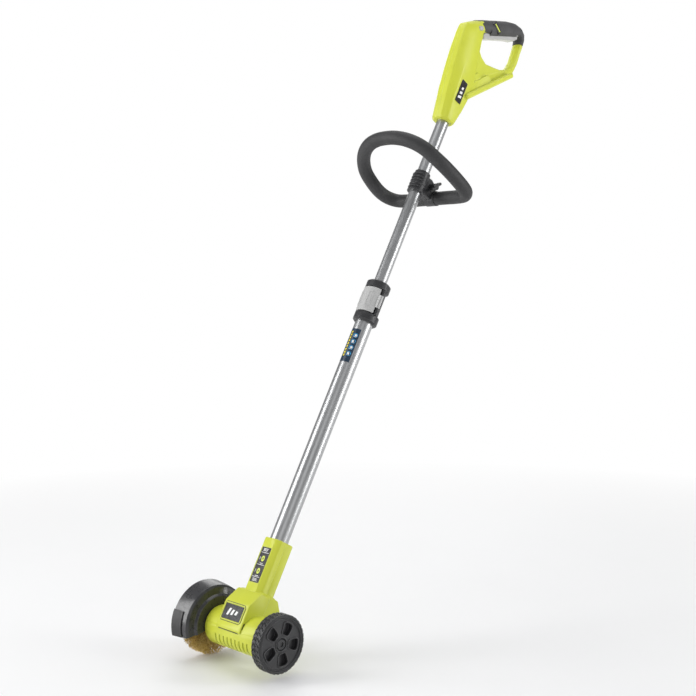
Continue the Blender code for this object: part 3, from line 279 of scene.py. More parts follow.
def finish(name, colour, vary=0.07, rough=(0.38, 0.5), grain=(2600.0, 0.12), metallic=0.0,
           worn_and_lit_edge_colour=None, worn_and_lit_edge_amount=0.35, coat=0.0, stretch=(1.0, 1.0, 1.0)):
    """Procedural surface: blotchy colour, uneven roughness, fine grain and paler edges that are partly wear and
    partly painted highlight.
    """
    g = Graph(name)
    blotch = 28.0
    even, drawn = g.place(), g.place(stretch=stretch)
    cloud, fine = g.noise(even, blotch, 4.0), g.noise(drawn, grain[0], 2.0)
    base = g.mix(g.spread(cloud, 0.0, 1.0), shade(colour, 1.0 - vary), shade(colour, 1.0 + vary))
    speck = g.spread(fine, 0.0, 0.35, 0.45, 0.8)
    base = g.mix(speck, base, shade(colour, 1.0 - 1.5 * vary))
    if worn_and_lit_edge_colour is not None:
        # Paler edges from the bevel mask: partly wear, partly painted highlight on edges, rims and tread blocks.
        worn_and_lit_edges = g.math("MULTIPLY", g.edges(0.0011), g.spread(g.noise(even, 190.0, 3.0), 0.25, 1.0))
        base = g.mix(g.math("MULTIPLY", worn_and_lit_edges, worn_and_lit_edge_amount), base, worn_and_lit_edge_colour)
    g.join(base, g.shader.inputs["Base Color"])
    smear = g.math("ADD", g.spread(g.noise(even, blotch * 5.0, 3.0), 0.0, (rough[1] - rough[0]) * 0.7),
                   g.spread(fine, rough[0], rough[0] + (rough[1] - rough[0]) * 0.3))
    g.join(smear, g.shader.inputs["Roughness"])
    g.join(g.bump(fine, grain[1], 0.0003), g.shader.inputs["Normal"])
    g.shader.inputs["Metallic"].default_value = metallic
    g.shader.inputs["Coat Weight"].default_value = coat
    g.shader.inputs["Coat Roughness"].default_value = 0.12
    return g.mat


def foam_finish(name):
    """Closed-cell foam: matt, pitted, with faint blotches."""
    g = Graph(name)
    place = g.place()
    cells = g.add("TexVoronoi")
    cells.inputs["Scale"].default_value = 900.0
    g.join(place, cells.inputs["Vector"])
    cloud, fine = g.noise(place, 22.0, 3.0), g.noise(place, 2400.0, 2.0)
    base = g.mix(g.spread(cloud, 0.0, 1.0), (0.020, 0.020, 0.021), (0.036, 0.036, 0.038))
    # Darker in the cells' pits: painted shade in the pits.
    g.join(g.mix(g.spread(cells.outputs["Distance"], 0.5, 0.0, 0.0, 0.5), base, (0.012, 0.012, 0.012)),
           g.shader.inputs["Base Color"])
    g.join(g.spread(fine, 0.52, 0.68), g.shader.inputs["Roughness"])
    pits = g.bump(cells.outputs["Distance"], 0.18, 0.0003)
    g.join(g.bump(fine, 0.10, 0.0002, pits), g.shader.inputs["Normal"])
    return g.mat


def grip_finish(name):
    """Soft over-moulded rubber with a fine pebble."""
    g = Graph(name)
    place = g.place()
    pebble = g.add("TexVoronoi", feature="SMOOTH_F1")
    pebble.inputs["Scale"].default_value = 620.0
    g.join(place, pebble.inputs["Vector"])
    cloud = g.noise(place, 40.0, 3.0)
    base = g.mix(g.spread(cloud, 0.0, 1.0), (0.045, 0.045, 0.047), (0.066, 0.066, 0.069))
    # Paler edges from the bevel mask: painted highlight along the grip's edges.
    g.join(g.mix(g.math("MULTIPLY", g.edges(0.0012), 0.4), base, (0.17, 0.17, 0.175)),
           g.shader.inputs["Base Color"])
    g.join(g.spread(g.noise(place, 300.0), 0.5, 0.7), g.shader.inputs["Roughness"])
    g.join(g.bump(pebble.outputs["Distance"], 0.25, 0.0004), g.shader.inputs["Normal"])
    return g.mat


def tube_finish(name, colour, rough):
    """Drawn and brushed aluminium: long fine lines up the pole, faint handling marks."""
    g = Graph(name)
    lines = g.noise(g.place(True, (1.0, 1.0, 0.004)), 3600.0, 3.0, 0.7)
    bands = g.noise(g.place(True, (1.0, 1.0, 0.01)), 260.0, 2.0)
    marks = g.noise(g.place(), 34.0, 5.0, 0.65)
    base = g.mix(g.spread(bands, 0.0, 1.0), shade(colour, 0.94), shade(colour, 1.05))
    g.join(g.mix(g.spread(lines, 0.0, 0.25), base, shade(colour, 0.8)), g.shader.inputs["Base Color"])
    g.join(g.math("ADD", g.spread(lines, rough, rough + 0.08), g.spread(marks, 0.0, 0.08)),
           g.shader.inputs["Roughness"])
    g.join(g.bump(lines, 0.03, 0.0001), g.shader.inputs["Normal"])
    g.shader.inputs["Metallic"].default_value = 1.0
    return g.mat


def wire_finish(name):
    """Brass-coated crimped wire, each strand lighter or darker than the next: painted highlight in pale gold and
    painted shade in brown.
    """
    g = Graph(name)
    place = g.place()
    strand_sheen_and_shade, dirt = g.noise(place, 300.0, 3.0, 0.7), g.noise(place, 90.0, 3.0)
    # Pale gold to brown across the strands: painted highlight and painted shade on the wires.
    base = g.mix(g.spread(strand_sheen_and_shade, 0.0, 1.0), (0.44, 0.26, 0.045), (1.0, 0.82, 0.34))
    g.join(g.mix(g.spread(dirt, 0.0, 0.25), base, (0.26, 0.15, 0.05)), g.shader.inputs["Base Color"])
    g.join(g.spread(dirt, 0.3, 0.5), g.shader.inputs["Roughness"])
    g.join(g.bump(strand_sheen_and_shade, 0.2, 0.0002), g.shader.inputs["Normal"])
    g.shader.inputs["Metallic"].default_value = 0.2
    return g.mat


LIME = (0.590, 0.635, 0.045)
FINISH = {
    "lime_plastic": finish("lime_plastic", LIME, vary=0.03, rough=(0.32, 0.46), grain=(2200.0, 0.05),
                           worn_and_lit_edge_colour=(0.78, 0.86, 0.30), worn_and_lit_edge_amount=0.8),
    "black_plastic": finish("black_plastic", (0.024, 0.024, 0.026), rough=(0.34, 0.48),
                            grain=(1900.0, 0.12), worn_and_lit_edge_colour=(0.26, 0.26, 0.265), worn_and_lit_edge_amount=0.6),
    "guard_black": finish("guard_black", (0.028, 0.028, 0.030), vary=0.03, rough=(0.20, 0.42),
                          grain=(700.0, 0.16), worn_and_lit_edge_colour=(0.24, 0.24, 0.25), worn_and_lit_edge_amount=0.8, coat=0.3,
                          stretch=(0.15, 1.0, 1.0)),
    "grip_rubber": grip_finish("grip_rubber"),
    "foam_black": foam_finish("foam_black"),
    "tyre_rubber": finish("tyre_rubber", (0.024, 0.024, 0.025), vary=0.12, rough=(0.42, 0.6),
                          grain=(1500.0, 0.2), worn_and_lit_edge_colour=(0.24, 0.24, 0.245), worn_and_lit_edge_amount=0.9),
    "light_grey_plastic": finish("light_grey_plastic", (0.46, 0.46, 0.455), vary=0.03,
                                 rough=(0.34, 0.46), grain=(2300.0, 0.06), worn_and_lit_edge_colour=(0.85, 0.85, 0.85)),
    "aluminium_tube": tube_finish("aluminium_tube", (0.47, 0.475, 0.48), 0.27),
    "steel": finish("steel", (0.52, 0.53, 0.55), rough=(0.28, 0.42), grain=(1800.0, 0.12),
                    metallic=1.0, worn_and_lit_edge_colour=(0.8, 0.8, 0.82)),
    "zinc_screw": finish("zinc_screw", (0.60, 0.60, 0.58), rough=(0.3, 0.42), grain=(2400.0, 0.1),
                         metallic=1.0, worn_and_lit_edge_colour=(0.85, 0.85, 0.85)),
    "brass_wire": wire_finish("brass_wire"),
    "copper_iron": finish("copper_iron", (0.50, 0.24, 0.11), vary=0.2, rough=(0.35, 0.5),
                          grain=(900.0, 0.4), metallic=1.0, stretch=(6.0, 1.0, 1.0)),
    "label_black": finish("label_black", (0.012, 0.012, 0.014), rough=(0.2, 0.32),
                          grain=(1500.0, 0.03), coat=0.3),
    "white_plastic": finish("white_plastic", (0.75, 0.75, 0.73), vary=0.04, grain=(2000.0, 0.08)),
    "brass_contact": finish("brass_contact", (0.80, 0.58, 0.22), rough=(0.25, 0.35),
                            grain=(2000.0, 0.06), metallic=1.0),
}
PRINT = {
    "white": finish("print_white", (0.86, 0.86, 0.85), vary=0.02, rough=(0.3, 0.4)),
    "lime": finish("print_lime", (0.70, 0.80, 0.10), vary=0.03, rough=(0.3, 0.4)),
    "blue": finish("print_blue", (0.03, 0.26, 0.50), vary=0.06, rough=(0.3, 0.4)),
    "yellow": finish("print_yellow", (0.85, 0.70, 0.04), vary=0.05, rough=(0.3, 0.4)),
    "navy": finish("print_navy", (0.010, 0.030, 0.060), vary=0.1, rough=(0.25, 0.35)),
    # Near-black lime strips: painted shadow in the gaps round the badge and under the head's front block.
    "shadow_strip": finish("painted_shadow_strip", (0.030, 0.036, 0.008), vary=0.1, rough=(0.6, 0.7)),
    "oxide": finish("oxide_steel", (0.05, 0.05, 0.052), vary=0.1, rough=(0.3, 0.42), metallic=0.6,
                    worn_and_lit_edge_colour=(0.3, 0.3, 0.3)),
}


# ---- pieces --------------------------------------------------------------------------------------
def piece(name, bm, node, mat=None, replaces=(), matrix=POLE, smooth=35.0):
    """Turn a bmesh in millimetres into a piece that rides with a CAD node's body."""
    bmesh.ops.recalc_face_normals(bm, faces=bm.faces)
    bm.transform(matrix)
    mesh = bpy.data.meshes.new(name)
    bm.to_mesh(mesh)
    bm.free()
    mesh.shade_smooth()
    mesh.set_sharp_from_angle(angle=math.radians(smooth))
    obj = bpy.data.objects.new(name, mesh)
    bpy.context.scene.collection.objects.link(obj)
    mesh.materials.append(mat or FINISH[SLOT[node]])
    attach(obj, BODY[node])
    if replaces:
        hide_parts(*replaces)
    return obj


def round_edges(obj, width, angle=30.0):
    mod = obj.modifiers.new("round", "BEVEL")
    mod.width, mod.segments = width * MM, 2
    mod.limit_method, mod.angle_limit = "ANGLE", math.radians(angle)
    mod.use_clamp_overlap = True
    mod.harden_normals = True


def refined(node, width, angle=30.0):
    """A CAD node's own shape with its flats merged and its edges rounded."""
    bm = bmesh.new()
    bm.from_mesh(NODES[node].data)
    bmesh.ops.remove_doubles(bm, verts=bm.verts, dist=2e-6)
    bmesh.ops.dissolve_limit(bm, angle_limit=math.radians(0.8), verts=bm.verts, edges=bm.edges)
    still = Matrix.Identity(4)
    obj = piece(node + "_surface", bm, node, replaces=(node,), matrix=still, smooth=angle)
    round_edges(obj, width, angle)


def bridge(bm, rings, closed=False):
    pairs = list(zip(rings, rings[1:]))
    if closed:
        pairs.append((rings[-1], rings[0]))
    for low, high in pairs:
        for i, corner in enumerate(low):
            j = (i + 1) % len(low)
            bm.faces.new((corner, low[j], high[j], high[i]))


def lathe(profile, seg, closed=True, warp=None):
    """Turn (x, radius) points about the axle; warp may change a point's radius by angle."""
    bm = bmesh.new()
    rings = []
    for x, r in profile:
        ring = []
        for k in range(seg):
            a = 2.0 * math.pi * k / seg
            radius = r if warp is None else warp(x, r, a)
            ring.append(bm.verts.new((x, radius * math.cos(a), radius * math.sin(a))))
        rings.append(ring)
    bridge(bm, rings, closed)
    return bm


def tube(lo, hi, outer, inner, dent=None, seg=120):
    """A tube up the pole with small chamfers at both ends; dent gives a groove's depth by angle."""
    rows = [(lo, inner), (lo, outer - 0.3), (lo + 0.3, outer), (hi - 0.3, outer), (hi, outer - 0.3),
            (hi, inner)]
    bm = bmesh.new()
    rings = []
    for z, r in rows:
        ring = []
        for k in range(seg):
            a = 2.0 * math.pi * k / seg
            s = r - (dent(a) if dent else 0.0)
            ring.append(bm.verts.new((s * math.cos(a), s * math.sin(a), z)))
        rings.append(ring)
    bridge(bm, rings, closed=True)
    return bm


def placed(axis, depth, u, v):
    """A point that lies depth along an axis, with u and v as its other two coordinates."""
    return (depth, u, v) if axis == "X" else (u, depth, v)


def plate(outline, lo, hi, axis="Y"):
    """Extrude an outline between two planes across an axis."""
    bm = bmesh.new()
    rings = [[bm.verts.new(placed(axis, d, u, v)) for u, v in outline] for d in (lo, hi)]
    bridge(bm, rings)
    bm.faces.new(rings[0])
    bm.faces.new(rings[1])
    return bm


def frame_ring(outer, inner, lo, hi, axis="Y"):
    """A flat frame between two outlines with the same number of points."""
    bm = bmesh.new()
    rings = [[bm.verts.new(placed(axis, d, u, v)) for u, v in line]
             for line, d in ((inner, lo), (outer, lo), (outer, hi), (inner, hi))]
    bridge(bm, rings, closed=True)
    return bm


def rounded(u0, u1, v0, v1, r, steps=4):
    points = []
    for cu, cv, start in ((u1 - r, v1 - r, 0), (u0 + r, v1 - r, 90), (u0 + r, v0 + r, 180),
                          (u1 - r, v0 + r, 270)):
        for k in range(steps + 1):
            a = math.radians(start + 90.0 * k / steps)
            points.append((cu + r * math.cos(a), cv + r * math.sin(a)))
    return points


def oval(cu, cv, ru, rv, seg=24):
    return [(cu + ru * math.cos(2 * math.pi * k / seg), cv + rv * math.sin(2 * math.pi * k / seg))
            for k in range(seg)]


def merge(*parts):
    out = bmesh.new()
    for part in parts:
        mesh = bpy.data.meshes.new("part")
        part.to_mesh(mesh)
        part.free()
        out.from_mesh(mesh)
        bpy.data.meshes.remove(mesh)
    return out


# ---- head ----------------------------------------------------------------------------------------
def bars(cu, cv, width, height):
    """A plain mark: slanted bars side by side, each shorter than the one before."""
    count, lean = 3, 0.35
    step = width / count
    shapes = []
    for k in range(count):
        u, half = cu - width / 2.0 + k * step, height / 2.0 * (1.0 - 0.22 * k)
        tip = lean * half
        shapes.append([(u - tip, cv - half), (u + step * 0.55 - tip, cv - half),
                       (u + step * 0.55 + tip, cv + half), (u + tip, cv + half)])
    return shapes


def make_head():
    for node in ("head_housing_front", "head_housing_rear"):
        refined(node, 0.7)
    low, high = pole_box("head_badge")
    face = low.y
    u0, u1, v0, v1 = low.x, high.x, low.z, high.z
    badge = plate(rounded(u0, u1, v0, v1, 1.6), high.y, face)
    round_edges(piece("badge_plate", badge, "head_badge", replaces=("head_badge",)), 0.25)
    mark = bars((u0 + u1) / 2 + 1.5, (v0 + v1) / 2, 26, 11)
    marks = [plate(bar, face + 0.1, face - 0.12) for bar in mark]
    piece("badge_mark", merge(*marks), "head_badge", PRINT["white"])
    inner = chamfered(u0 - 0.5, u1 + 0.5, v0 - 0.5, v1 + 0.5, 1.4)
    outer = chamfered(u0 - 2.5, u1 + 2.5, v0 - 2.5, v1 + 2.5, 3.2)
    wide = chamfered(u0 - 3.5, u1 + 3.5, v0 - 3.5, v1 + 3.5, 4.0)
    rim = piece("badge_rim", frame_ring(outer, inner, face + 0.8, face - 0.7), "head_housing_front")
    round_edges(rim, 0.4)
    # Dark strip round the badge rim: painted shadow in the gap.
    piece("badge_painted_shadow", frame_ring(wide, outer, face + 0.8, face + 0.05), "head_housing_front",
          PRINT["shadow_strip"])
    make_pedestal_shadow(face)


def chamfered(u0, u1, v0, v1, c):
    return [(u0 + c, v0), (u1 - c, v0), (u1, v0 + c), (u1, v1 - c), (u1 - c, v1), (u0 + c, v1),
            (u0, v1 - c), (u0, v0 + c)]


def make_pedestal_shadow(face):
    """Dark strip of painted shadow where the lower edge of the head's front block stands on the barrel."""
    top = 9.0

    def edge(half, shoulder, foot, bottom):
        """One open outline: down the right side, along the bottom and up the left side."""
        right = [(half, top), (half, shoulder), (foot, bottom)]
        return right + [(-u, v) for u, v in reversed(right)]

    line, wide = edge(28.0, 0.5, 22.0, -6.6), edge(29.5, -0.3, 22.6, -8.2)
    deep = face + 4.5
    bm = bmesh.new()
    rings = [[bm.verts.new((u, d, v)) for u, v in path]
             for path, d in ((line, deep), (wide, deep), (wide, face + 2.4), (line, face + 2.2))]
    for i in range(len(line) - 1):
        for a, b in ((0, 1), (1, 2), (2, 3), (3, 0)):
            bm.faces.new((rings[a][i], rings[a][i + 1], rings[b][i + 1], rings[b][i]))
    for i in (0, len(line) - 1):
        bm.faces.new([ring[i] for ring in rings])
    piece("front_block_painted_shadow", bm, "head_housing_front", PRINT["shadow_strip"])


def make_neck_label():
    low, high = pole_box("neck_label")
    face, mid = low.y, (low.z + high.z) / 2.0
    strip = plate(rounded(low.x, high.x, low.z, high.z, 1.2), high.y, face)
    piece("neck_label_plate", strip, "neck_label", replaces=("neck_label",))
    white, lime = [], []
    for centre in (mid - 10.0, mid + 10.0):
        u = 0.6
        lime.append(frame_ring(oval(u, centre, 3.4, 4.6), oval(u, centre, 1.3, 2.0), face, face - 0.1))
        white.append(plate(rounded(-6.6, -5.9, centre - 2.5, centre + 2.5, 0.3, 2), face, face - 0.1))
        white.append(plate(rounded(-3.0, 4.2, centre - 8.0, centre - 7.1, 0.3, 2), face, face - 0.1))
    for v in (low.z + 8.6, mid, high.z - 8.6):
        white.append(plate(rounded(-8.6, 8.6, v - 0.35, v + 0.35, 0.3, 2), face, face - 0.1))
    for edge, way in ((low.z, 1.0), (high.z, -1.0)):
        for k in range(3):
            v = edge + way * (2.4 + 1.7 * k)
            white.append(plate(rounded(-5.6, 5.6 - k, v - 0.4, v + 0.4, 0.3, 2), face, face - 0.1))
    piece("neck_label_lines", merge(*white), "neck_label", PRINT["white"])
    piece("neck_label_icons", merge(*lime), "neck_label", PRINT["lime"])


# ---- guard and brush -----------------------------------------------------------------------------
def make_guard():
    refined("brush_guard", 0.4, 24.0)
    refined("guard_flap", 0.3)


def strand(bm, rng, x_mid, root, tip, half):
    """One crimped wire from the hub to the rim of the brush."""
    a, spread = rng.uniform(0.0, 2.0 * math.pi), rng.choice((-1.0, 1.0)) * rng.random() ** 0.6
    end = tip * rng.uniform(0.95, 1.0) - 0.6
    phase, swing = rng.uniform(0.0, 6.28), rng.uniform(0.9, 1.5)
    drift = rng.uniform(-0.10, 0.10)
    rings = []
    steps, thick, sides = 14, 0.36, 3
    for k in range(steps + 1):
        t = k / steps
        r = root + (end - root) * t
        wave = swing * math.sin(phase + 1.55 * (r - root))
        side = swing * 0.7 * math.cos(phase + 1.35 * (r - root))
        b = a + drift * t + wave / r
        x = x_mid + spread * half * (0.55 + 0.45 * t) + side * (1.0 - 0.4 * abs(spread))
        x = max(x_mid - half + 0.2, min(x_mid + half - 0.2, x))
        ring = []
        for j in range(sides):
            c = 2.0 * math.pi * j / sides
            u, v = thick * math.cos(c), thick * math.sin(c)
            ring.append(bm.verts.new((x + u, r * math.cos(b) - v * math.sin(b),
                                      r * math.sin(b) + v * math.cos(b))))
        rings.append(ring)
    bridge(bm, rings)
    bm.faces.new(rings[0])
    bm.faces.new(rings[-1])


def make_brush():
    low, high = pole_box("bristle_ring")
    mid, half, tip = (low.x + high.x) / 2.0, (high.x - low.x) / 2.0, high.y
    root = pole_box("brush_core")[1].y + 0.6
    wires, rng = 2000, random.Random(7)
    bm = bmesh.new()
    for _ in range(wires):
        strand(bm, rng, mid, root, tip, half)
    piece("bristle_wires", bm, "bristle_ring", replaces=("bristle_ring",), smooth=60.0)
    core = [(mid - half * 0.4, root), (mid - half * 0.6, tip * 0.72), (mid + half * 0.6, tip * 0.72),
            (mid + half * 0.4, root)]
    piece("bristle_bed", lathe(core, 96), "bristle_ring")


# ---- guide wheel ---------------------------------------------------------------------------------
def make_tyre():
    low, high = pole_box("wheel_tyre")
    x0, x1, r = low.x, high.x, high.y
    rim = pole_box("wheel_hub")[1].y + 0.3
    width = x1 - x0
    face = [(x0 + 0.9, rim), (x0 + 0.3, rim + 0.5), (x0, rim + 1.2), (x0, rim + 1.9), (x0 + 0.4, rim + 2.7),
            (x0 + 1.1, r - 1.6), (x0 + 1.8, r - 0.7)]
    tread = [(x0 + 2.0 + (width - 4.0) * k / 16.0, r) for k in range(17)]
    profile = face + tread + [(x1 - (x - x0), y) for x, y in reversed(face)]

    def blocks(x, radius, a):
        if radius < r:
            return radius
        across = (x - x0) / width
        zigzag = abs((across * 3.0) % 1.0 - 0.5) * 2.0
        turn = (a * 34.0 / (2.0 * math.pi) + 0.55 * zigzag) % 1.0
        groove = turn < 0.34 or abs(across - 0.5) < 0.035
        return r - (1.9 if groove else 0.0)

    piece("tyre_tread", lathe(profile, 272, warp=blocks), "wheel_tyre", replaces=("wheel_tyre",),
          smooth=30.0)


def pentagon(angle, near, far, half, grow=0.0):
    """Outline of one of the hub's pockets, which widens from near to far at an angle round it."""
    near, far, half = near - grow, far + grow, half + grow
    shape = [(near, -half * 0.50), (near + 3.0, -half * 0.78), (far - 4.2, -half), (far - 1.0, -half * 0.80),
             (far, -half * 0.42), (far, half * 0.42), (far - 1.0, half * 0.80), (far - 4.2, half),
             (near + 3.0, half * 0.78), (near, half * 0.50)]
    ca, sa = math.cos(angle), math.sin(angle)
    return [(u * ca - v * sa, u * sa + v * ca) for u, v in shape]


def make_wheel():
    make_tyre()
    low, high = pole_box("wheel_hub")
    x0, x1, rim = low.x, high.x, high.y
    end = pole_box("axle_bolt")[1]
    head, step, clearance = end.y, 3.0, 0.3
    bore = head - step + clearance
    face = x1 - 2.0
    profile = [(x0, bore), (x0, 10.0), (x0 + 2.4, 12.0), (x0 + 2.4, rim - 6.8), (x0 + 0.2, rim - 4.8),
               (x0 + 0.2, rim), (x1 - 0.4, rim), (x1, rim - 0.5), (x1, rim - 1.4), (x1 - 0.5, rim - 1.9),
               (x1 - 2.2, rim - 2.2), (face - 0.4, rim - 4.4), (face, 13.0), (face + 0.1, 11.8),
               (x1 - 0.6, 11.2), (x1 - 0.6, 9.8), (x1 - 1.2, 9.2), (x1 - 3.4, 8.6), (x1 - 4.2, bore)]
    hub = piece("wheel_hub_surface", lathe(profile, 120), "wheel_hub", replaces=("wheel_hub",))
    angles = [math.radians(90 + 72 * k) for k in range(5)]
    near, far, half = 14.2, rim - 6.2, 8.8
    cutters = merge(*[plate(pentagon(a, near, far, half), x1 - 9.0, x1 + 3.0, "X") for a in angles])
    cutter = piece("wheel_pockets", cutters, "wheel_hub")
    cutter.hide_render, cutter.display_type = True, "WIRE"
    hollow = hub.modifiers.new("pockets", "BOOLEAN")
    hollow.object = cutter
    round_edges(hub, 0.35, 40.0)
    rims = merge(*[frame_ring(pentagon(a, near, far, half, 1.3), pentagon(a, near, far, half),
                              face - 0.4, face + 1.0, "X") for a in angles])
    round_edges(piece("wheel_pocket_rims", rims, "wheel_hub"), 0.2)
    bolt = [(x1 - 3.2, bore - 0.4), (x1 - 3.2, head), (end.x - 0.8, head), (end.x, head - 0.8),
            (end.x, head * 0.5), (end.x - 2.0, head * 0.42)]
    sides = 60
    bm = lathe(bolt, sides, closed=False)
    bm.verts.ensure_lookup_table()
    for start in (0, len(bm.verts) - sides):
        bm.faces.new([bm.verts[start + k] for k in range(sides)])
    piece("axle_bolt_head", bm, "axle_bolt", PRINT["oxide"], replaces=("axle_bolt",))


# ---- pole ----------------------------------------------------------------------------------------
def tube_groove(a):
    """Depth of the key groove that runs down the upper tube, at an angle round it."""
    middle, half_width, depth = -138.0, 7.5, 0.7
    off = abs((math.degrees(a) - middle + 180.0) % 360.0 - 180.0)
    return depth * max(0.0, 1.0 - (off / half_width) ** 4)


def make_tubes():
    for node, wall, groove in (("lower_tube", 1.8, None), ("upper_tube", 1.4, tube_groove)):
        low, high = pole_box(node)
        bm = tube(low.z, high.z, high.x, high.x - wall, groove)
        piece(node + "_surface", bm, node, replaces=(node,), smooth=30.0)


def on_tube(points, radius, middle=-80.0):
    """Wrap (sideways, height) points round the pole; sideways is measured along the surface."""
    out = []
    for u, z in points:
        a = math.radians(middle) + u / radius
        out.append((radius * math.cos(a), radius * math.sin(a), z))
    return out


def patch(points, radius):
    """A thin printed shape wrapped round the pole."""
    thick = 0.12
    bm = bmesh.new()
    rings = [[bm.verts.new(p) for p in on_tube(points, r)] for r in (radius, radius + thick)]
    bridge(bm, rings)
    bm.faces.new(rings[0])
    bm.faces.new(rings[1])
    return bm


def make_shaft_label():
    low, high = pole_box("shaft_label")
    radius = pole_box("lower_tube")[1].x + 0.5
    NODES["shaft_label"].data.materials.clear()
    NODES["shaft_label"].data.materials.append(PRINT["navy"])
    blue, white, yellow = [], [], []
    length = high.z - low.z
    for k in range(4):
        z = low.z + length * (0.24 + 0.185 * k)
        blue.append(patch(oval(4.2, z, 4.1, 4.1), radius))
        white.append(patch(oval(4.2 + (0.8 if k % 2 else -0.6), z + 0.4, 1.9, 1.9, 14), radius + 0.13))
        white.append(patch(rounded(1.6, 6.8, z - 2.6, z - 1.9, 0.3, 2), radius + 0.13))
    for k in range(9):
        z = low.z + length * (0.16 + 0.088 * k)
        yellow.append(patch([(-6.4, z), (-3.4, z), (-2.6, z + 3.4), (-5.6, z + 3.4)], radius))
    for name, shapes, mat in (("discs", blue, "blue"), ("icons", white, "white"),
                              ("stripe", yellow, "yellow")):
        piece("shaft_label_" + name, merge(*shapes), "shaft_label", PRINT[mat])


def make_collar():
    refined("collar_body", 0.5)
    refined("lock_lever", 0.4)
    low, high = pole_box("lock_lever")
    radius = -low.y
    ridges = []
    for middle in (-62.0, -118.0):
        centre, tall = (low.z + high.z) / 2.0, (high.z - low.z) * 0.32
        outer = rounded(-4.6, 4.6, centre - tall, centre + tall, 4.5, 6)
        inner = rounded(-3.5, 3.5, centre - tall + 1.1, centre + tall - 1.1, 3.4, 6)
        bm = bmesh.new()
        rings = [[bm.verts.new(p) for p in on_tube(line, r, middle)]
                 for line, r in ((inner, radius - 0.1), (outer, radius - 0.1), (outer, radius + 0.4),
                                 (inner, radius + 0.4))]
        bridge(bm, rings, closed=True)
        ridges.append(bm)
    piece("lock_lever_ridges", merge(*ridges), "lock_lever")


# ---- front handle --------------------------------------------------------------------------------
def smooth_path(points, steps=9):
    """Points along a Catmull-Rom curve through the given ones."""
    out = []
    ends = [points[0]] + list(points) + [points[-1]]
    for a, b, c, d in zip(ends, ends[1:], ends[2:], ends[3:]):
        a, b, c, d = (Vector(p) for p in (a, b, c, d))
        for k in range(steps):
            t = k / steps
            out.append(0.5 * (2 * b + (c - a) * t + (2 * a - 5 * b + 4 * c - d) * t * t
                              + (3 * b - a - 3 * c + d) * t ** 3))
    out.append(Vector(points[-1]))
    return out


def sweep(path, radius, seg=40):
    """A closed round bar along a path."""
    bm = bmesh.new()
    side = Vector((0.0, 0.0, 1.0))
    rings = []
    for i, p in enumerate(path):
        t = (path[min(i + 1, len(path) - 1)] - path[max(i - 1, 0)]).normalized()
        side = (side - t * side.dot(t)).normalized()
        over = t.cross(side)
        rings.append([bm.verts.new(p + side * (radius * math.cos(2 * math.pi * k / seg))
                                   + over * (radius * math.sin(2 * math.pi * k / seg)))
                      for k in range(seg)])
    bridge(bm, rings)
    bm.faces.new(rings[0])
    bm.faces.new(rings[-1])
    return bm


def hoop_path(w, reach, pivot):
    """The hoop's centre line: (sideways, forward, up) from the pivot, mirrored for the other limb."""
    half = [(12.4, 0.0, 0.0), (35.0, 0.0, 0.0), (55.0, 0.5, -0.5), (w * 0.80, 4.0, -1.5),
            (w * 0.925, 14.0, -2.5), (w * 0.985, 28.0, -3.0), (w, 45.0, -2.0), (w * 0.985, 64.0, 0.5),
            (w * 0.945, reach * 0.57, 4.0), (w * 0.88, reach * 0.68, 8.0),
            (w * 0.775, reach * 0.79, 14.0), (w * 0.63, reach * 0.88, 19.0),
            (w * 0.44, reach * 0.95, 22.5), (w * 0.22, reach * 0.99, 24.5), (0.0, reach, 25.0)]
    other = [(-x, d, h) for x, d, h in reversed(half[:-1])]
    return [(x, pivot.y - d, pivot.z + h) for x, d, h in half + other]


def make_hoop():
    low, high = pole_box("hoop_grip")
    pivot = POLE.inverted() @ Vector(JOINTS["hoop_tilt"]["pos_m"])
    radius = high.y - pivot.y
    reach = pivot.y - (low.y + radius)
    half_w = high.x - radius
    path = smooth_path(hoop_path(half_w, reach, pivot))
    inside = 0.15
    foam = piece("hoop_foam", sweep(path, radius - inside), "hoop_grip",
                 replaces=("hoop_grip", "hoop_tube"), smooth=50.0)


def make_clamp():
    for node in ("handle_clamp_left", "handle_clamp_right", "wing_knob"):
        refined(node, 0.5)
    refined("clamp_bolt", 0.3)
    make_clamp_ribs()


def make_clamp_ribs():
    """Five raised ribs round the front of the clamp's collar."""
    low, high = pole_box("handle_clamp_left")
    front = -low.y
    ribs = []
    for k in range(5):
        z = low.z + (high.z - low.z) * (0.18 + 0.16 * k)
        rings = []
        bm = bmesh.new()
        for a in range(-150, -29, 6):
            c, d = math.cos(math.radians(a)), math.sin(math.radians(a))
            rings.append([bm.verts.new((r * c, r * d, h)) for r, h in
                          ((front - 1.0, z - 1.1), (front + 0.55, z - 0.5), (front + 0.55, z + 0.5),
                           (front - 1.0, z + 1.1))])
        bridge(bm, rings)
        bm.faces.new(rings[0])
        bm.faces.new(rings[-1])
        ribs.append(bm)
    piece("clamp_ribs", merge(*ribs), "handle_clamp_left")


# ---- rear handle ---------------------------------------------------------------------------------
def make_handle():
    for node in ("handle_housing_left", "handle_housing_right"):
        refined(node, 0.7)
    refined("soft_grip", 0.5, 34.0)
    make_grip_front()
    make_grip_marks()
    refined("trigger", 0.5)
    refined("lock_off_button", 0.6)
    low, high = pole_box("handle_badge")
    low.z, high.z = low.z - TUBE_TOP, high.z - TUBE_TOP
    face = high.x
    plate_bm = plate(rounded(low.y, high.y, low.z, high.z, 1.4), low.x, face, "X")
    piece("handle_badge_plate", plate_bm, "handle_badge", replaces=("handle_badge",), matrix=HANDLE)
    centre_y, centre_z = (low.y + high.y) / 2.0, (low.z + high.z) / 2.0
    marks = [[(centre_y + v - centre_z, centre_z + (u - centre_y)) for u, v in bar]
             for bar in bars(centre_y, centre_z, 26, 8)]
    piece("handle_badge_mark", merge(*[plate(m, face - 0.1, face + 0.12, "X") for m in marks]),
          "handle_badge", PRINT["white"], matrix=HANDLE)


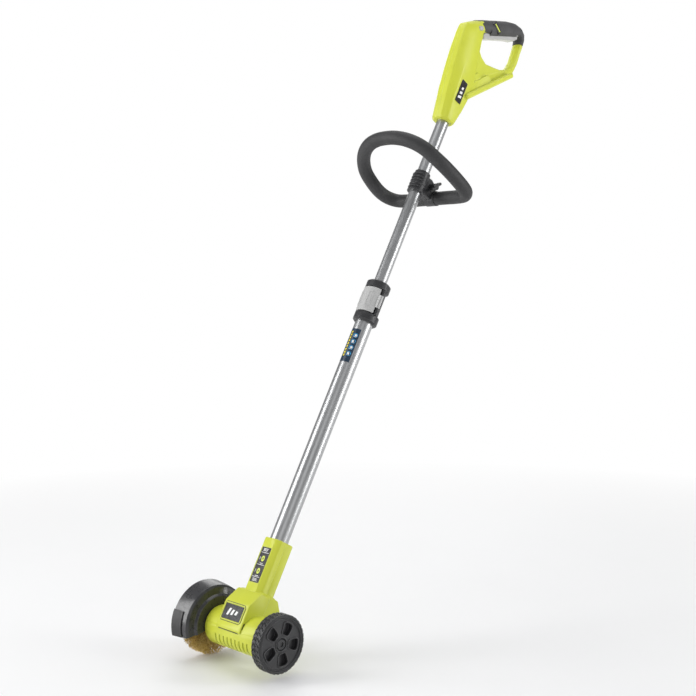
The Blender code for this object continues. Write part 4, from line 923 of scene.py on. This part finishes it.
def make_grip_front():
    """The soft grip's dark skin runs forward over the housing, farther along the top than below."""
    bm = bmesh.new()
    rows = [((-5.0, 140.8), 12.9, 15.35, 9.0), ((1.0, 145.3), 13.2, 15.6, 7.0),
            ((6.0, 149.0), 13.5, 15.75, 4.0), ((13.7, 154.6), 13.6, 15.8, 0.0)]
    ahead, up = Vector((0.0, -0.79, -0.61)), Vector((0.0, -0.61, 0.79))
    outer, inner, sides = [], [], 48
    for (y, z), hu, hw, lean in rows:
        for rings, skin in ((outer, 0.0), (inner, 1.2)):
            ring = []
            for k in range(sides):
                a = 2.0 * math.pi * k / sides
                p = Vector((0.0, y, z)) + up * ((hu - skin) * math.cos(a)) + ahead * (lean * math.cos(a))
                ring.append(bm.verts.new((p.x + (hw - skin) * math.sin(a), p.y, p.z)))
            rings.append(ring)
    bridge(bm, outer + inner[::-1], closed=True)
    piece("soft_grip_front", bm, "soft_grip", matrix=HANDLE, smooth=40.0)


def make_grip_marks():
    """A slanted lime stripe in a dark groove near the front of the rear grip, on both sides."""
    stripe, groove = [], []
    root, groove_top, stripe_top = 12.6, 15.7, 15.95
    for side in (-1.0, 1.0):
        line = [(18.3, 163.4), (19.6, 165.6), (36.6, 160.6), (35.3, 158.4)]
        wide = [(13.6, 161.0), (16.6, 170.6), (36.0, 165.6), (40.6, 161.4), (37.0, 154.6)]
        groove.append(plate(wide, side * root, side * groove_top, "X"))
        stripe.append(plate(line, side * root, side * stripe_top, "X"))
    round_edges(piece("grip_groove", merge(*groove), "soft_grip", FINISH["black_plastic"],
                      matrix=HANDLE), 0.3)
    round_edges(piece("grip_stripe", merge(*stripe), "soft_grip", PRINT["lime"], matrix=HANDLE), 0.2)


# ---- everything else -----------------------------------------------------------------------------
def paint_frame():
    """The CAD nodes that still show get their slot's finish."""
    for name, obj in NODES.items():
        obj.data.materials.clear()
        obj.data.materials.append(FINISH[SLOT[name]])


make_camera()
make_studio()
paint_frame()
make_head()
make_neck_label()
make_guard()
make_brush()
make_wheel()
make_tubes()
make_shaft_label()
make_collar()
make_hoop()
make_clamp()
make_handle()
